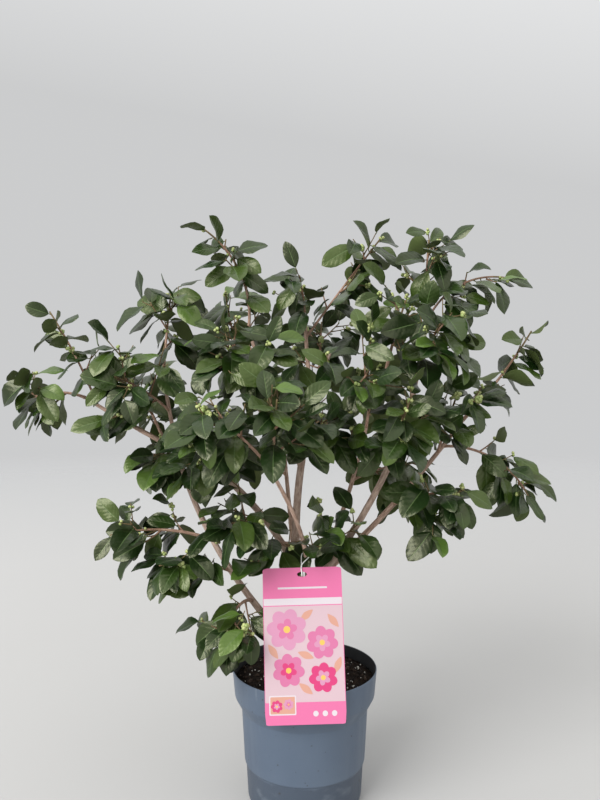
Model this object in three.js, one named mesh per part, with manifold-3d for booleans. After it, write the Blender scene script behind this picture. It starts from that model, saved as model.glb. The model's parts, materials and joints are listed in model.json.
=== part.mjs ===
// A camellia in a nursery pot: soil, a forked trunk with boughs, sprays of leaves and buds, a hung label.
// Sizes are in millimetres. +Z is up, the front faces -Y, and the origin is the middle of the underside.
import * as THREE from "three";
import { mergeVertices } from "three/addons/utils/BufferGeometryUtils.js";
import Module from "manifold-3d";

const wasm = await Module();
wasm.setup();
const UP = new THREE.Vector3(0, 0, 1);

// Driving dimensions
const SEED = 41;
const CLEARANCE = 0.3;
const SHORTEST_EDGE = 0.004;
const POT_RADIUS = 95;
const POT_HEIGHT = 167.5;
const POT_WALL = 1.6;
const POT_FACETS = 28;
const SOIL_LEVEL = 156;
const TRUNK_LENGTH = 106;
const LEAF_LENGTH = 49;
const LEAF_WIDTH = 0.68;
const LEAF_THICKNESS = 1.3;
const LEAF_SUNK = 0.45;
const LEAF_SPACING = 16;
const LEAF_TWISTS = [0, 0.8, -0.8, 1.6, -1.6];
const FLOWER_SHARE = 0.25;
const TWIG_LENGTH = 62;
const TWIG_SPACING = 29;
const TWIG_RADIUS = 1.1;
const STEM_RADIUS = 2.8;
const STEM_TIP = 1.6;
const SPIRAL = 2.4;
const BUD_RADIUS = 3.6;
const SPRAY_REACH = 88;
const SPRAY_SHARED = 14;
const LIT_BACK = 90;
const LABEL_WIDTH = 96;
const LABEL_HEIGHT = 180;
const LABEL_THICKNESS = 0.8;
const LABEL_LEAN = 9.6;
const LABEL_TURN = 1.6;
const LABEL_FOOT = 137;
const LABEL_ROUND = 4;
const SLOT_DROP = 8;
const TIE_RADIUS = 0.7;
const TIE_SPREAD = 5.2;
const TIE_SHARE = 0.42;

// The pot's wall from the underside to the lip, each row a radius and a height
const pot = {
  base: 0.784 * POT_RADIUS,
  corner: 0.03 * POT_HEIGHT,
  band: 0.81 * POT_RADIUS,
  waist: 0.832 * POT_RADIUS,
  step: 0.29 * POT_HEIGHT,
  shoulder: 0.872 * POT_RADIUS,
  shoulderHeight: 0.7 * POT_HEIGHT,
  collar: 0.968 * POT_RADIUS,
  collarHeight: 0.8 * POT_HEIGHT,
  lip: 1.2,
  drains: 6,
  drainRadius: 0.058 * POT_RADIUS,
  drainRing: 0.55 * POT_RADIUS,
};
const potWall = [
  [pot.base - 0.3 * pot.corner, 0.3 * pot.corner],
  [pot.base, pot.corner],
  [pot.band, pot.step - 1],
  [pot.waist, pot.step + 1],
  [pot.shoulder, pot.shoulderHeight],
  [pot.collar, pot.collarHeight],
  [POT_RADIUS, POT_HEIGHT - pot.lip],
];

// Limbs, each from a place along its parent: compass 0 is +X and 90 is +Y, lean is from the vertical
const trunk = {
  name: "trunk",
  compass: 180, lean: 0, bow: 10, length: TRUNK_LENGTH, radius: 7.8, tip: 6.2,
};
const TRUNK_FLARE = 5.5;
const limbs = [
  {
    name: "mid_stem", parent: "trunk", at: 1,
    compass: 8, lean: -5, bow: 25, length: 325, radius: 5.8, tip: 3.7,
  },
  {
    name: "left_stem", parent: "trunk", at: 0.22,
    compass: 188, lean: 47, bow: -29, length: 300, radius: 5, tip: 3.2,
  },
  {
    name: "left_arm", parent: "mid_stem", at: 0.1,
    compass: 172, lean: 27, bow: 28, length: 182, radius: 4.8, tip: 4.2,
  },
  {
    name: "left_bough", parent: "left_arm", at: 1,
    compass: 172, lean: 66, bow: -8, turn: 8, length: 196, radius: 4.1, tip: 2.2,
  },
  {
    name: "left_upper_bough", parent: "left_stem", at: 1,
    compass: 165, lean: 16, bow: -8, length: 128, radius: 3.1, tip: 2.1,
  },
  {
    name: "right_stem", parent: "trunk", at: 0.91,
    compass: 352, lean: 42, bow: -24, length: 292, radius: 5.2, tip: 3.4,
  },
  {
    name: "right_top_bough", parent: "right_stem", at: 1,
    compass: 20, lean: 14, bow: -6, length: 132, radius: 3.3, tip: 2.1,
  },
  {
    name: "right_outer_stem", parent: "right_stem", at: 0.14,
    compass: 9, lean: 50, bow: -12, length: 290, radius: 4.2, tip: 2.6,
  },
  {
    name: "right_inner_stem", parent: "right_stem", at: 0.1,
    compass: 42, lean: 36, bow: -12, turn: 12, length: 235, radius: 3.8, tip: 2.4,
  },
  {
    name: "mid_left_bough", parent: "mid_stem", at: 0.52,
    compass: 184, lean: 26, bow: -10, length: 196, radius: 3.3, tip: 2.1,
  },
  {
    name: "mid_bough", parent: "mid_stem", at: 0.76,
    compass: 140, lean: 9, bow: -6, length: 118, radius: 3.5, tip: 2.2,
  },
  {
    name: "mid_right_bough", parent: "mid_stem", at: 0.66,
    compass: 352, lean: 64, bow: -24, length: 132, radius: 3.7, tip: 2.4,
  },
  {
    name: "front_bough", parent: "trunk", at: 0.78,
    compass: 296, lean: 33, bow: 0, turn: -90, length: 246, radius: 3.4, tip: 2.1,
  },
  {
    name: "back_bough", parent: "mid_stem", at: 0.06,
    compass: 100, lean: 40, bow: -12, length: 225, radius: 3.8, tip: 2.4,
  },
];

// Sprays of leaves, each on its own stem from a limb; full scales the number and length of its twigs
const sprays = [
  {
    name: "left_tip", on: "left_bough", at: 1, full: 0.8,
    compass: 186, lean: 66, bow: 60, length: 84,
  },
  {
    name: "left_rise", on: "left_bough", at: 0.9, full: 0.4,
    compass: 174, lean: 22, bow: 12, length: 146,
  },
  {
    name: "left_under", on: "left_bough", at: 0.2, full: 0.7,
    compass: 240, lean: 70, bow: 40, length: 62,
  },
  { name: "left_over", on: "left_bough", at: 0.35, compass: 150, lean: 30, bow: 4, length: 100 },
  {
    name: "left_top", on: "left_upper_bough", at: 1, full: 0.7,
    compass: 60, lean: 6, bow: 4, length: 108,
  },
  {
    name: "left_shoulder", on: "left_upper_bough", at: 0.6, full: 1.2,
    compass: 226, lean: 50, bow: 24, length: 92,
  },
  {
    name: "left_low", on: "left_stem", at: 0.66, full: 0.5,
    compass: 196, lean: 66, bow: 36, length: 132,
  },
  {
    name: "left_skirt", on: "left_stem", at: 0.5, full: 0.8,
    compass: 214, lean: 64, bow: 28, length: 104,
  },
  {
    name: "left_foot", on: "left_stem", at: 0.34, full: 1.1,
    compass: 246, lean: 64, bow: 80, length: 78,
  },
  { name: "left_front", on: "left_arm", at: 0.86, compass: 258, lean: 62, bow: 10, length: 122 },
  { name: "left_inner", on: "left_arm", at: 0.42, compass: 244, lean: 70, bow: 32, length: 104 },
  {
    name: "left_high_top", on: "mid_left_bough", at: 1, full: 0.45,
    compass: 196, lean: -8, bow: 66, length: 148,
  },
  { name: "left_high_front", on: "mid_left_bough", at: 0.62, compass: 240, lean: 58, bow: 14, length: 108 },
  { name: "left_high_back", on: "mid_left_bough", at: 0.8, compass: 128, lean: 50, bow: 12, length: 120 },
  { name: "mid_top", on: "mid_bough", at: 1, compass: 120, lean: 8, bow: 4, length: 48 },
  {
    name: "mid_top_right", on: "mid_bough", at: 0.82, full: 0.55,
    compass: 5, lean: 36, bow: 2, length: 170,
  },
  { name: "mid_right", on: "mid_right_bough", at: 1, compass: 330, lean: 14, bow: 6, length: 96 },
  {
    name: "mid_right_front", on: "mid_right_bough", at: 0.62, full: 1.2,
    compass: 272, lean: 62, bow: 20, length: 108,
  },
  {
    name: "trunk_front", on: "mid_stem", at: 0.6, full: 1.2,
    compass: 286, lean: 60, bow: 16, length: 104,
  },
  { name: "trunk_low", on: "mid_stem", at: 0.2, compass: 238, lean: 70, bow: 24, length: 84 },
  {
    name: "right_crest", on: "right_top_bough", at: 1, full: 0.7,
    compass: 20, lean: -2, bow: 8, length: 96,
  },
  {
    name: "right_arch", on: "right_top_bough", at: 0.86, full: 0.4,
    compass: 8, lean: 20, bow: 84, length: 150,
  },
  { name: "right_top_front", on: "right_top_bough", at: 0.4, compass: 276, lean: 56, bow: 10, length: 108 },
  {
    name: "right_rise", on: "right_outer_stem", at: 1, full: 0.3,
    compass: 8, lean: 46, bow: -14, length: 158,
  },
  { name: "right_out_front", on: "right_outer_stem", at: 0.8, compass: 284, lean: 34, bow: 4, length: 98 },
  {
    name: "right_droop", on: "right_outer_stem", at: 0.84, full: 0.4,
    compass: 352, lean: 86, bow: 78, length: 156,
  },
  { name: "right_low", on: "right_outer_stem", at: 0.48, compass: 316, lean: 64, bow: 22, length: 94 },
  { name: "right_foot", on: "right_stem", at: 0.26, compass: 268, lean: 34, bow: 20, length: 66 },
  { name: "right_front", on: "right_stem", at: 0.82, compass: 268, lean: 58, bow: 12, length: 122 },
  { name: "back_tip", on: "back_bough", at: 1, compass: 96, lean: 44, bow: 20, length: 112 },
  { name: "back_left", on: "back_bough", at: 0.7, compass: 150, lean: 58, bow: 18, length: 118 },
  { name: "back_right", on: "right_inner_stem", at: 1, compass: 72, lean: 36, bow: 16, length: 118 },
  { name: "back_right_low", on: "right_inner_stem", at: 0.66, compass: 30, lean: 70, bow: 20, length: 104 },
  { name: "back_crown", on: "mid_stem", at: 0.86, compass: 86, lean: 44, bow: 0, length: 132 },
  { name: "left_back", on: "left_arm", at: 0.95, compass: 112, lean: 46, bow: 14, length: 116 },
  { name: "front_tip", on: "front_bough", at: 1, compass: 205, lean: 40, bow: 20, length: 100 },
  { name: "front_low", on: "front_bough", at: 0.94, compass: 280, lean: 20, bow: 10, length: 96 },
];

const colours = {
  pot: 0x66758a,
  soil: 0x2c2320,
  bark: 0x8a7262,
  leaf: 0x37602a,
  label: 0xd8628f,
  tie: 0xf0efe8,
};

// Returns numbers from 0 to 1 that repeat for the same seed.
function seededDraws(seed) {
  let state = seed;
  return () => {
    state = (state + 0x6d2b79f5) | 0;
    let mixed = Math.imul(state ^ (state >>> 15), state | 1);
    mixed ^= mixed + Math.imul(mixed ^ (mixed >>> 7), mixed | 61);
    return ((mixed ^ (mixed >>> 14)) >>> 0) / 4294967296;
  };
}

// Turns a closed surface into a solid that can be joined and cut.
function solid(shape) {
  const bare = new THREE.BufferGeometry();
  bare.setAttribute("position", shape.getAttribute("position"));
  bare.setIndex(shape.index);
  const welded = mergeVertices(bare, 1e-4);
  const corners = welded.index.array;
  const faces = [];
  for (let i = 0; i < corners.length; i += 3) {
    const [a, b, c] = corners.slice(i, i + 3);
    if (a !== b && b !== c && c !== a) {
      faces.push(a, b, c);
    }
  }
  const vertProperties = Float32Array.from(welded.getAttribute("position").array);
  const triVerts = Uint32Array.from(faces);
  return new wasm.Manifold(new wasm.Mesh({ numProp: 3, vertProperties, triVerts }));
}

// Keeps the biggest body of a solid, so that no loose scrap stays.
function biggest(body) {
  const pieces = body.decompose();
  return pieces.reduce((best, piece) => (piece.volume() > best.volume() ? piece : best));
}

// Turns a solid into a named mesh.
function meshOf(name, body, colour) {
  const { vertProperties, triVerts } = body.getMesh();
  const shape = new THREE.BufferGeometry();
  shape.setAttribute("position", new THREE.BufferAttribute(vertProperties, 3));
  shape.setIndex(new THREE.BufferAttribute(triVerts, 1));
  const mesh = new THREE.Mesh(shape, new THREE.MeshStandardMaterial({ color: colour, roughness: 0.6 }));
  mesh.name = name;
  return mesh;
}

// Turns a profile of radius and height rows about the upright axis.
function turned(rows, facets) {
  const profile = rows.map(([radius, height]) => new THREE.Vector2(radius, height));
  return new THREE.LatheGeometry(profile, facets).rotateX(Math.PI / 2);
}

// A unit vector from a compass bearing and a lean off the vertical, both in degrees.
function heading(compass, lean) {
  const bearing = THREE.MathUtils.degToRad(compass);
  const tilt = THREE.MathUtils.degToRad(lean);
  const out = Math.sin(tilt);
  return new THREE.Vector3(out * Math.cos(bearing), out * Math.sin(bearing), Math.cos(tilt));
}

// Grows a centreline whose lean changes by bow and whose bearing changes by turn from start to tip.
function growLine(start, { compass, lean, bow, turn = 0, length }, steps) {
  const points = [start.clone()];
  const ways = [heading(compass, lean)];
  for (let i = 0; i < steps; i++) {
    const middle = (i + 0.5) / steps;
    const end = (i + 1) / steps;
    const way = heading(compass + turn * middle, lean + bow * middle);
    points.push(points[i].clone().addScaledVector(way, length / steps));
    ways.push(heading(compass + turn * end, lean + bow * end));
  }
  return { points, ways };
}

// The point and the direction at a share of a centreline's length.
function along(line, share) {
  const place = THREE.MathUtils.clamp(share, 0, 1) * (line.points.length - 1);
  const k = Math.min(Math.floor(place), line.points.length - 2);
  const point = line.points[k].clone().lerp(line.points[k + 1], place - k);
  const way = line.ways[k].clone().lerp(line.ways[k + 1], place - k).normalize();
  return { point, way };
}

// A direction square to another one.
function squareTo(way) {
  const guide = Math.abs(way.z) < 0.9 ? UP : new THREE.Vector3(1, 0, 0);
  return new THREE.Vector3().crossVectors(guide, way).normalize();
}

// Bends a cylinder along a centreline, with its radius worked out at each ring.
function limbShape(line, radiusAt, sides) {
  const steps = line.points.length - 1;
  const shape = new THREE.CylinderGeometry(1, 1, 1, sides, steps);
  const position = shape.getAttribute("position");
  const frames = [];
  let across = squareTo(line.ways[0]);
  for (const way of line.ways) {
    across = across.clone().addScaledVector(way, -across.dot(way)).normalize();
    frames.push({ across, around: new THREE.Vector3().crossVectors(across, way) });
  }
  for (let i = 0; i < position.count; i++) {
    const ring = Math.round((position.getY(i) + 0.5) * steps);
    const radius = radiusAt(ring / steps);
    const spot = line.points[ring].clone();
    spot.addScaledVector(frames[ring].across, position.getX(i) * radius);
    spot.addScaledVector(frames[ring].around, position.getZ(i) * radius);
    position.setXYZ(i, spot.x, spot.y, spot.z);
  }
  return shape;
}

// Lengthens a centreline by a short way at its tip.
function lengthened(line, extra) {
  const last = line.points.length - 1;
  const points = line.points.map((point) => point.clone());
  points[last].addScaledVector(line.ways[last], extra);
  return { points, ways: line.ways };
}

// The pot: one wall turned about the axis, with a ring of drain holes through the floor.
function potSolid() {
  const floor = 1.4 * POT_WALL;
  const inner = potWall.map(([radius, height]) => [radius - POT_WALL, height + 0.5 * POT_WALL]).reverse();
  inner[0] = [POT_RADIUS - POT_WALL, POT_HEIGHT - pot.lip];
  inner[inner.length - 1] = [pot.base - POT_WALL - 0.3 * pot.corner, floor];
  const lip = [
    [POT_RADIUS - 0.3 * POT_WALL, POT_HEIGHT],
    [POT_RADIUS - 0.7 * POT_WALL, POT_HEIGHT],
  ];
  const rows = [[0, 0], [pot.base - pot.corner, 0], ...potWall, ...lip, ...inner, [0, floor]];
  let body = solid(turned(rows, POT_FACETS));
  for (let i = 0; i < pot.drains; i++) {
    const angle = (2 * Math.PI * (i + 0.5)) / pot.drains;
    const hole = new THREE.CylinderGeometry(pot.drainRadius, pot.drainRadius, 4 * floor, 10);
    hole.rotateX(Math.PI / 2).translate(pot.drainRing * Math.cos(angle), pot.drainRing * Math.sin(angle), 0);
    body = body.subtract(solid(hole));
  }
  return body;
}

// The soil: it follows the inside of the wall and has a lumpy top that is flat round the trunk.
function soilSolid() {
  const draw = seededDraws(SEED);
  const gap = POT_WALL + 1.4 * CLEARANCE;
  const rows = potWall.map(([radius, height]) => [radius - gap, height + 0.5 * POT_WALL]);
  const edge = pot.collar + (POT_RADIUS - pot.collar) * 0.5 - gap - CLEARANCE;
  rows[0] = [pot.base - gap - 0.3 * pot.corner, 1.4 * POT_WALL + CLEARANCE];
  rows[rows.length - 1] = [edge, SOIL_LEVEL - 4];
  const top = [0.8, 0.55, 0.35].map((share) => [share * edge, SOIL_LEVEL]);
  const shape = turned([[0, rows[0][1]], ...rows, ...top, [0, SOIL_LEVEL]], POT_FACETS);
  const welded = mergeVertices(shape.deleteAttribute("normal").deleteAttribute("uv"), 1e-4);
  const position = welded.getAttribute("position");
  for (let i = 0; i < position.count; i++) {
    const reach = Math.hypot(position.getX(i), position.getY(i)) / edge;
    const lump = 5 * (draw() - 0.55);
    if (position.getZ(i) === Math.fround(SOIL_LEVEL) && reach > 0.4) {
      position.setZ(i, SOIL_LEVEL + lump);
    }
  }
  return solid(welded);
}

// Grows every limb's centreline from its parent's.
function growLimbs() {
  const start = new THREE.Vector3(0, 0, SOIL_LEVEL + CLEARANCE);
  const grown = new Map([["trunk", { ...trunk, line: growLine(start, trunk, 8) }]]);
  for (const limb of limbs) {
    const parent = grown.get(limb.parent);
    grown.set(limb.name, { ...limb, line: growLine(along(parent.line, limb.at).point, limb, 5) });
  }
  return grown;
}

// A limb's radius along its length: an even taper, with a root flare at the foot of the trunk.
function limbRadius(limb, share) {
  const flare = limb.name === "trunk" ? TRUNK_FLARE * Math.exp(-10 * share) : 0;
  return THREE.MathUtils.lerp(limb.radius, limb.tip, share) + flare;
}

// The limbs as solids, each cut clear of those before it.
function limbSolids(grown) {
  const bodies = new Map();
  const swollen = [];
  for (const limb of grown.values()) {
    const sides = limb.name === "trunk" ? 8 : 5;
    let body = solid(limbShape(limb.line, (share) => limbRadius(limb, share), sides));
    for (const earlier of swollen) {
      body = body.subtract(earlier);
    }
    bodies.set(limb.name, biggest(body));
    const longer = lengthened(limb.line, CLEARANCE);
    swollen.push(solid(limbShape(longer, (share) => limbRadius(limb, share) + CLEARANCE, sides)));
  }
  return { bodies, swollen };
}

// The shortest way from a point to a centreline.
function distanceTo(line, point) {
  const nearest = new THREE.Vector3();
  const piece = new THREE.Line3();
  let least = Infinity;
  for (let k = 0; k + 1 < line.points.length; k++) {
    piece.set(line.points[k], line.points[k + 1]);
    piece.closestPointToPoint(point, true, nearest);
    least = Math.min(least, nearest.distanceTo(point));
  }
  return least;
}

// Whether points lie in a spray's own space: near its stem, and not well nearer to another spray's stem.
function ownSpace(points, own, stems) {
  return points.every((point) => {
    const near = distanceTo(stems[own], point);
    const free = stems.every((stem, i) => i === own || distanceTo(stem, point) > near - SPRAY_SHARED);
    return near < SPRAY_REACH && free;
  });
}

// One leaf on a shoot: it stands off the shoot, droops, and turns its face up and outward, and more to the
// front and the back than to the sides, as the crown is flat.
// At the shoot's end it is smaller and stands up along the shoot.
function placeLeaf(line, bud, twist) {
  const { point, way } = along(line, bud.share);
  const [swing, stand, droop, x, y, z, long, wide] = bud.chances;
  const side = squareTo(way).applyAxisAngle(way, bud.roll + twist + 0.9 * (swing - 0.5));
  const young = bud.share ** 6;
  const splay = THREE.MathUtils.degToRad((42 + 26 * stand) * (1 - 0.4 * young));
  const axis = way.clone().multiplyScalar(Math.cos(splay)).addScaledVector(side, Math.sin(splay));
  axis.z = (0.6 + 0.4 * young) * axis.z - (0.3 + 0.65 * droop) * (1 - 0.8 * young);
  axis.normalize();
  const outward = new THREE.Vector3(0.2 * point.x, point.y - LIT_BACK, 0).normalize();
  const face = new THREE.Vector3(x - 0.5, y - 0.5, z - 0.5).multiplyScalar(0.9);
  face.addScaledVector(UP, 0.56).addScaledVector(outward, 0.62);
  face.addScaledVector(axis, -face.dot(axis)).normalize();
  const length = (1.08 - 0.18 * bud.share - 0.2 * young) * LEAF_LENGTH * (0.82 + 0.36 * long);
  const width = length * LEAF_WIDTH * (0.88 + 0.24 * wide);
  return { point, axis, face, length, width };
}

// A leaf as a flat double pyramid: its root is sunk in the shoot, its sides rise and its tip bends down.
function leafShape(leaf, swell) {
  const shape = new THREE.SphereGeometry(1, 4, 2);
  const position = shape.getAttribute("position");
  const across = new THREE.Vector3().crossVectors(leaf.axis, leaf.face);
  for (let i = 0; i < position.count; i++) {
    const rib = position.getY(i);
    const reach = position.getX(i);
    const run = Math.abs(rib) > 0.5 ? 0.28 : 0.44 + 0.5 * reach + 0.06 * reach * reach;
    const half = position.getZ(i) * (0.5 * leaf.width + swell);
    const bend = 0.34 * Math.abs(half) - 0.2 * leaf.length * run * run;
    const lift = bend + rib * (0.5 * LEAF_THICKNESS + swell);
    const spot = leaf.point.clone().addScaledVector(leaf.axis, run * (leaf.length + swell) - LEAF_SUNK);
    spot.addScaledVector(across, half).addScaledVector(leaf.face, lift);
    position.setXYZ(i, spot.x, spot.y, spot.z);
  }
  return shape;
}

// The corners of a shape as points.
function cornersOf(shape) {
  const position = shape.getAttribute("position");
  const corner = (_, i) => new THREE.Vector3().fromBufferAttribute(position, i);
  return Array.from({ length: position.count }, corner);
}

// A bud: a small eight-sided grain, longer than wide, with its foot in the shoot.
function budShape(point, way, size) {
  const shape = new THREE.OctahedronGeometry(size);
  shape.scale(1, 1.45, 1);
  shape.applyQuaternion(new THREE.Quaternion().setFromUnitVectors(new THREE.Vector3(0, 1, 0), way));
  const middle = point.clone().addScaledVector(way, 0.9 * size);
  return shape.translate(middle.x, middle.y, middle.z);
}

// Grows one spray by rule: side twigs in a spiral up the stem, then places for leaves and a bud on each.
function growSpray(stem, { length, full = 1 }, draw) {
  const shoots = [{ line: stem, length, base: STEM_RADIUS, tip: STEM_TIP, bare: 0.3 }];
  const count = Math.max(1, Math.round((full * length) / TWIG_SPACING));
  const spin = 2 * Math.PI * draw();
  for (let i = 0; i < count; i++) {
    const share = 0.2 + (0.66 * (i + 0.5)) / count;
    const { point, way } = along(stem, share);
    const side = squareTo(way).applyAxisAngle(way, spin + SPIRAL * i);
    const splay = THREE.MathUtils.degToRad(46 + 18 * draw());
    const course = way.clone().multiplyScalar(Math.cos(splay)).addScaledVector(side, Math.sin(splay));
    course.addScaledVector(UP, 0.12).normalize();
    const reach = TWIG_LENGTH * full * (1.3 - share) * (0.8 + 0.4 * draw());
    const points = [point, point.clone().addScaledVector(course, reach)];
    const line = { points, ways: [course, course] };
    shoots.push({ line, length: reach, base: TWIG_RADIUS, tip: TWIG_RADIUS, bare: 0.34 });
  }
  for (const shoot of shoots) {
    const leaves = Math.max(2, Math.round((shoot.length * (1 - shoot.bare)) / LEAF_SPACING));
    const turn = 2 * Math.PI * draw();
    shoot.buds = [];
    for (let i = 0; i < leaves; i++) {
      const share = shoot.bare + ((0.97 - shoot.bare) * (i + 0.4 * draw())) / (leaves - 0.6);
      shoot.buds.push({ share, roll: turn + SPIRAL * i, chances: Array.from({ length: 8 }, draw) });
    }
    shoot.flower = draw() < FLOWER_SHARE ? BUD_RADIUS * (0.8 + 0.4 * draw()) : 0;
  }
  return shoots;
}

// Whether a solid runs into any of the others.
function strikes(body, others) {
  return others.some((other) => !body.intersect(other).isEmpty());
}

// The shortest edge of a solid's faces.
function shortestEdge(body) {
  const { vertProperties, triVerts } = body.getMesh();
  const corner = (i) => new THREE.Vector3().fromArray(vertProperties, 3 * triVerts[i]);
  let least = Infinity;
  for (let i = 0; i < triVerts.length; i++) {
    const next = i % 3 === 2 ? i - 2 : i + 1;
    least = Math.min(least, corner(i).distanceTo(corner(next)));
  }
  return least;
}

// Joins a piece to a body, or returns null when the seam leaves an edge too short to keep.
function joined(body, piece) {
  const whole = body.add(piece);
  return shortestEdge(whole) < Math.min(SHORTEST_EDGE, shortestEdge(body)) ? null : whole;
}

// One spray as a single solid: shoots, leaves and buds that keep to its space and clear of all else.
function spraySolid(own, stems, limb, obstacles) {
  const draw = seededDraws(SEED + 101 * (own + 1));
  const shoots = growSpray(stems[own], sprays[own], draw);
  for (const shoot of shoots) {
    const radiusAt = (share) => THREE.MathUtils.lerp(shoot.base, shoot.tip, share);
    shoot.body = solid(limbShape(shoot.line, radiusAt, 3));
  }
  const [stem, ...twigs] = shoots;
  let body = biggest(stem.body.subtract(limb));
  const kept = [stem];
  for (const twig of twigs) {
    const fits = ownSpace(twig.line.points, own, stems) && !strikes(twig.body, obstacles);
    const whole = fits ? joined(body, twig.body) : null;
    if (whole) {
      body = whole;
      kept.push(twig);
    }
  }
  const growth = [];
  for (const shoot of kept) {
    const others = kept.filter((other) => other !== shoot).map((other) => other.body);
    const taken = () => [...obstacles, ...growth, ...others];
    const end = along(shoot.line, 1);
    const flower = shoot.flower > 0 ? solid(budShape(end.point, end.way, shoot.flower)) : null;
    const flowering = flower && !strikes(flower, taken()) ? joined(body, flower) : null;
    if (flowering) {
      body = flowering;
      growth.push(flower);
    }
    for (const bud of shoot.buds) {
      for (const twist of LEAF_TWISTS) {
        const leaf = placeLeaf(shoot.line, bud, twist);
        const blade = leafShape(leaf, 0);
        const roomy = solid(leafShape(leaf, CLEARANCE));
        const clear = ownSpace(cornersOf(blade), own, stems) && !strikes(roomy, taken());
        const whole = clear ? joined(body, solid(blade)) : null;
        if (whole) {
          body = whole;
          growth.push(solid(blade));
          break;
        }
      }
    }
  }
  return body;
}

// The label: a rounded card with a slot near its top edge, its foot at the origin before it is placed.
function labelShape() {
  const half = 0.5 * LABEL_WIDTH;
  const round = LABEL_ROUND;
  const card = new THREE.Shape();
  card.moveTo(-half + round, 0);
  card.lineTo(half - round, 0);
  card.quadraticCurveTo(half, 0, half, round);
  card.lineTo(half, LABEL_HEIGHT - round);
  card.quadraticCurveTo(half, LABEL_HEIGHT, half - round, LABEL_HEIGHT);
  card.lineTo(-half + round, LABEL_HEIGHT);
  card.quadraticCurveTo(-half, LABEL_HEIGHT, -half, LABEL_HEIGHT - round);
  card.lineTo(-half, round);
  card.quadraticCurveTo(-half, 0, -half + round, 0);
  const slot = new THREE.Path();
  slot.absellipse(0, LABEL_HEIGHT - SLOT_DROP, 6, 3, 0, 2 * Math.PI, true);
  card.holes.push(slot);
  return new THREE.ExtrudeGeometry(card, { depth: LABEL_THICKNESS, bevelEnabled: false, curveSegments: 4 });
}

// The label's place: leaning back on the pot's lip, its top turned a little to one side
const labelLean = THREE.MathUtils.degToRad(LABEL_LEAN);
const labelOut = POT_RADIUS + CLEARANCE + (POT_HEIGHT - LABEL_FOOT) * Math.tan(labelLean);
const labelPlace = new THREE.Matrix4().makeTranslation(1, -labelOut, LABEL_FOOT);
labelPlace.multiply(new THREE.Matrix4().makeRotationX(0.5 * Math.PI - labelLean));
labelPlace.multiply(new THREE.Matrix4().makeRotationZ(THREE.MathUtils.degToRad(LABEL_TURN)));

const grownLimbs = growLimbs();
const { bodies: limbBodies, swollen } = limbSolids(grownLimbs);
const limbNames = [...grownLimbs.keys()];
const potBody = potSolid();
const soilBody = soilSolid();
const labelBody = solid(labelShape().applyMatrix4(labelPlace));

// The tie: a thin loop through the label's slot, over its top edge and round the back of the front bough
function tieShape() {
  const { point, way } = along(grownLimbs.get("front_bough").line, TIE_SHARE);
  const slot = new THREE.Vector3(0, LABEL_HEIGHT - SLOT_DROP, 0.5 * LABEL_THICKNESS);
  slot.applyMatrix4(labelPlace);
  const rise = new THREE.Vector3(0, 1, 0).transformDirection(labelPlace);
  const out = new THREE.Vector3(0, 0, 1).transformDirection(labelPlace);
  const right = new THREE.Vector3().crossVectors(way, UP).normalize();
  right.multiplyScalar(Math.sign(right.x));
  const back = new THREE.Vector3().crossVectors(right, way).normalize();
  back.multiplyScalar(Math.sign(back.y));
  const loop = [
    slot.clone().addScaledVector(out, 3),
    slot.clone().addScaledVector(rise, SLOT_DROP + 3),
    point.clone().addScaledVector(right, TIE_SPREAD),
    point.clone().addScaledVector(back, TIE_SPREAD),
    point.clone().addScaledVector(right, -TIE_SPREAD),
    slot.clone().addScaledVector(out, -3),
  ];
  return new THREE.TubeGeometry(new THREE.CatmullRomCurve3(loop, true), 20, TIE_RADIUS, 5, true);
}
const tieBody = solid(tieShape());

const group = new THREE.Group();
group.name = "potted_camellia";
group.add(meshOf("pot", potBody, colours.pot));
group.add(meshOf("soil", soilBody, colours.soil));
group.add(meshOf("label", labelBody, colours.label));
group.add(meshOf("label_tie", tieBody, colours.tie));
for (const name of limbNames) {
  group.add(meshOf(name, limbBodies.get(name), colours.bark));
}
const stemLines = sprays.map((spray) => {
  const { point } = along(grownLimbs.get(spray.on).line, spray.at);
  return growLine(point, spray, 3);
});
const obstacles = [...swollen, potBody, soilBody, labelBody, tieBody];
sprays.forEach((spray, own) => {
  const limb = swollen[limbNames.indexOf(spray.on)];
  const body = spraySolid(own, stemLines, limb, obstacles);
  obstacles.push(body);
  group.add(meshOf(`${spray.name}_leaves`, body, colours.leaf));
});

export default group;
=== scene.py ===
"""A camellia in a nursery pot: bark, twigs, leaves, buds, pot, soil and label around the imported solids.

Sizes are in millimetres until a mesh is made, which is in metres. +Z is up and the front faces -Y.
"""

from __future__ import annotations

import json
import logging
import math
from dataclasses import dataclass, field
from enum import Enum, IntEnum

import bpy
import numpy as np
from mathutils import Matrix, Vector
from mathutils.bvhtree import BVHTree

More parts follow.
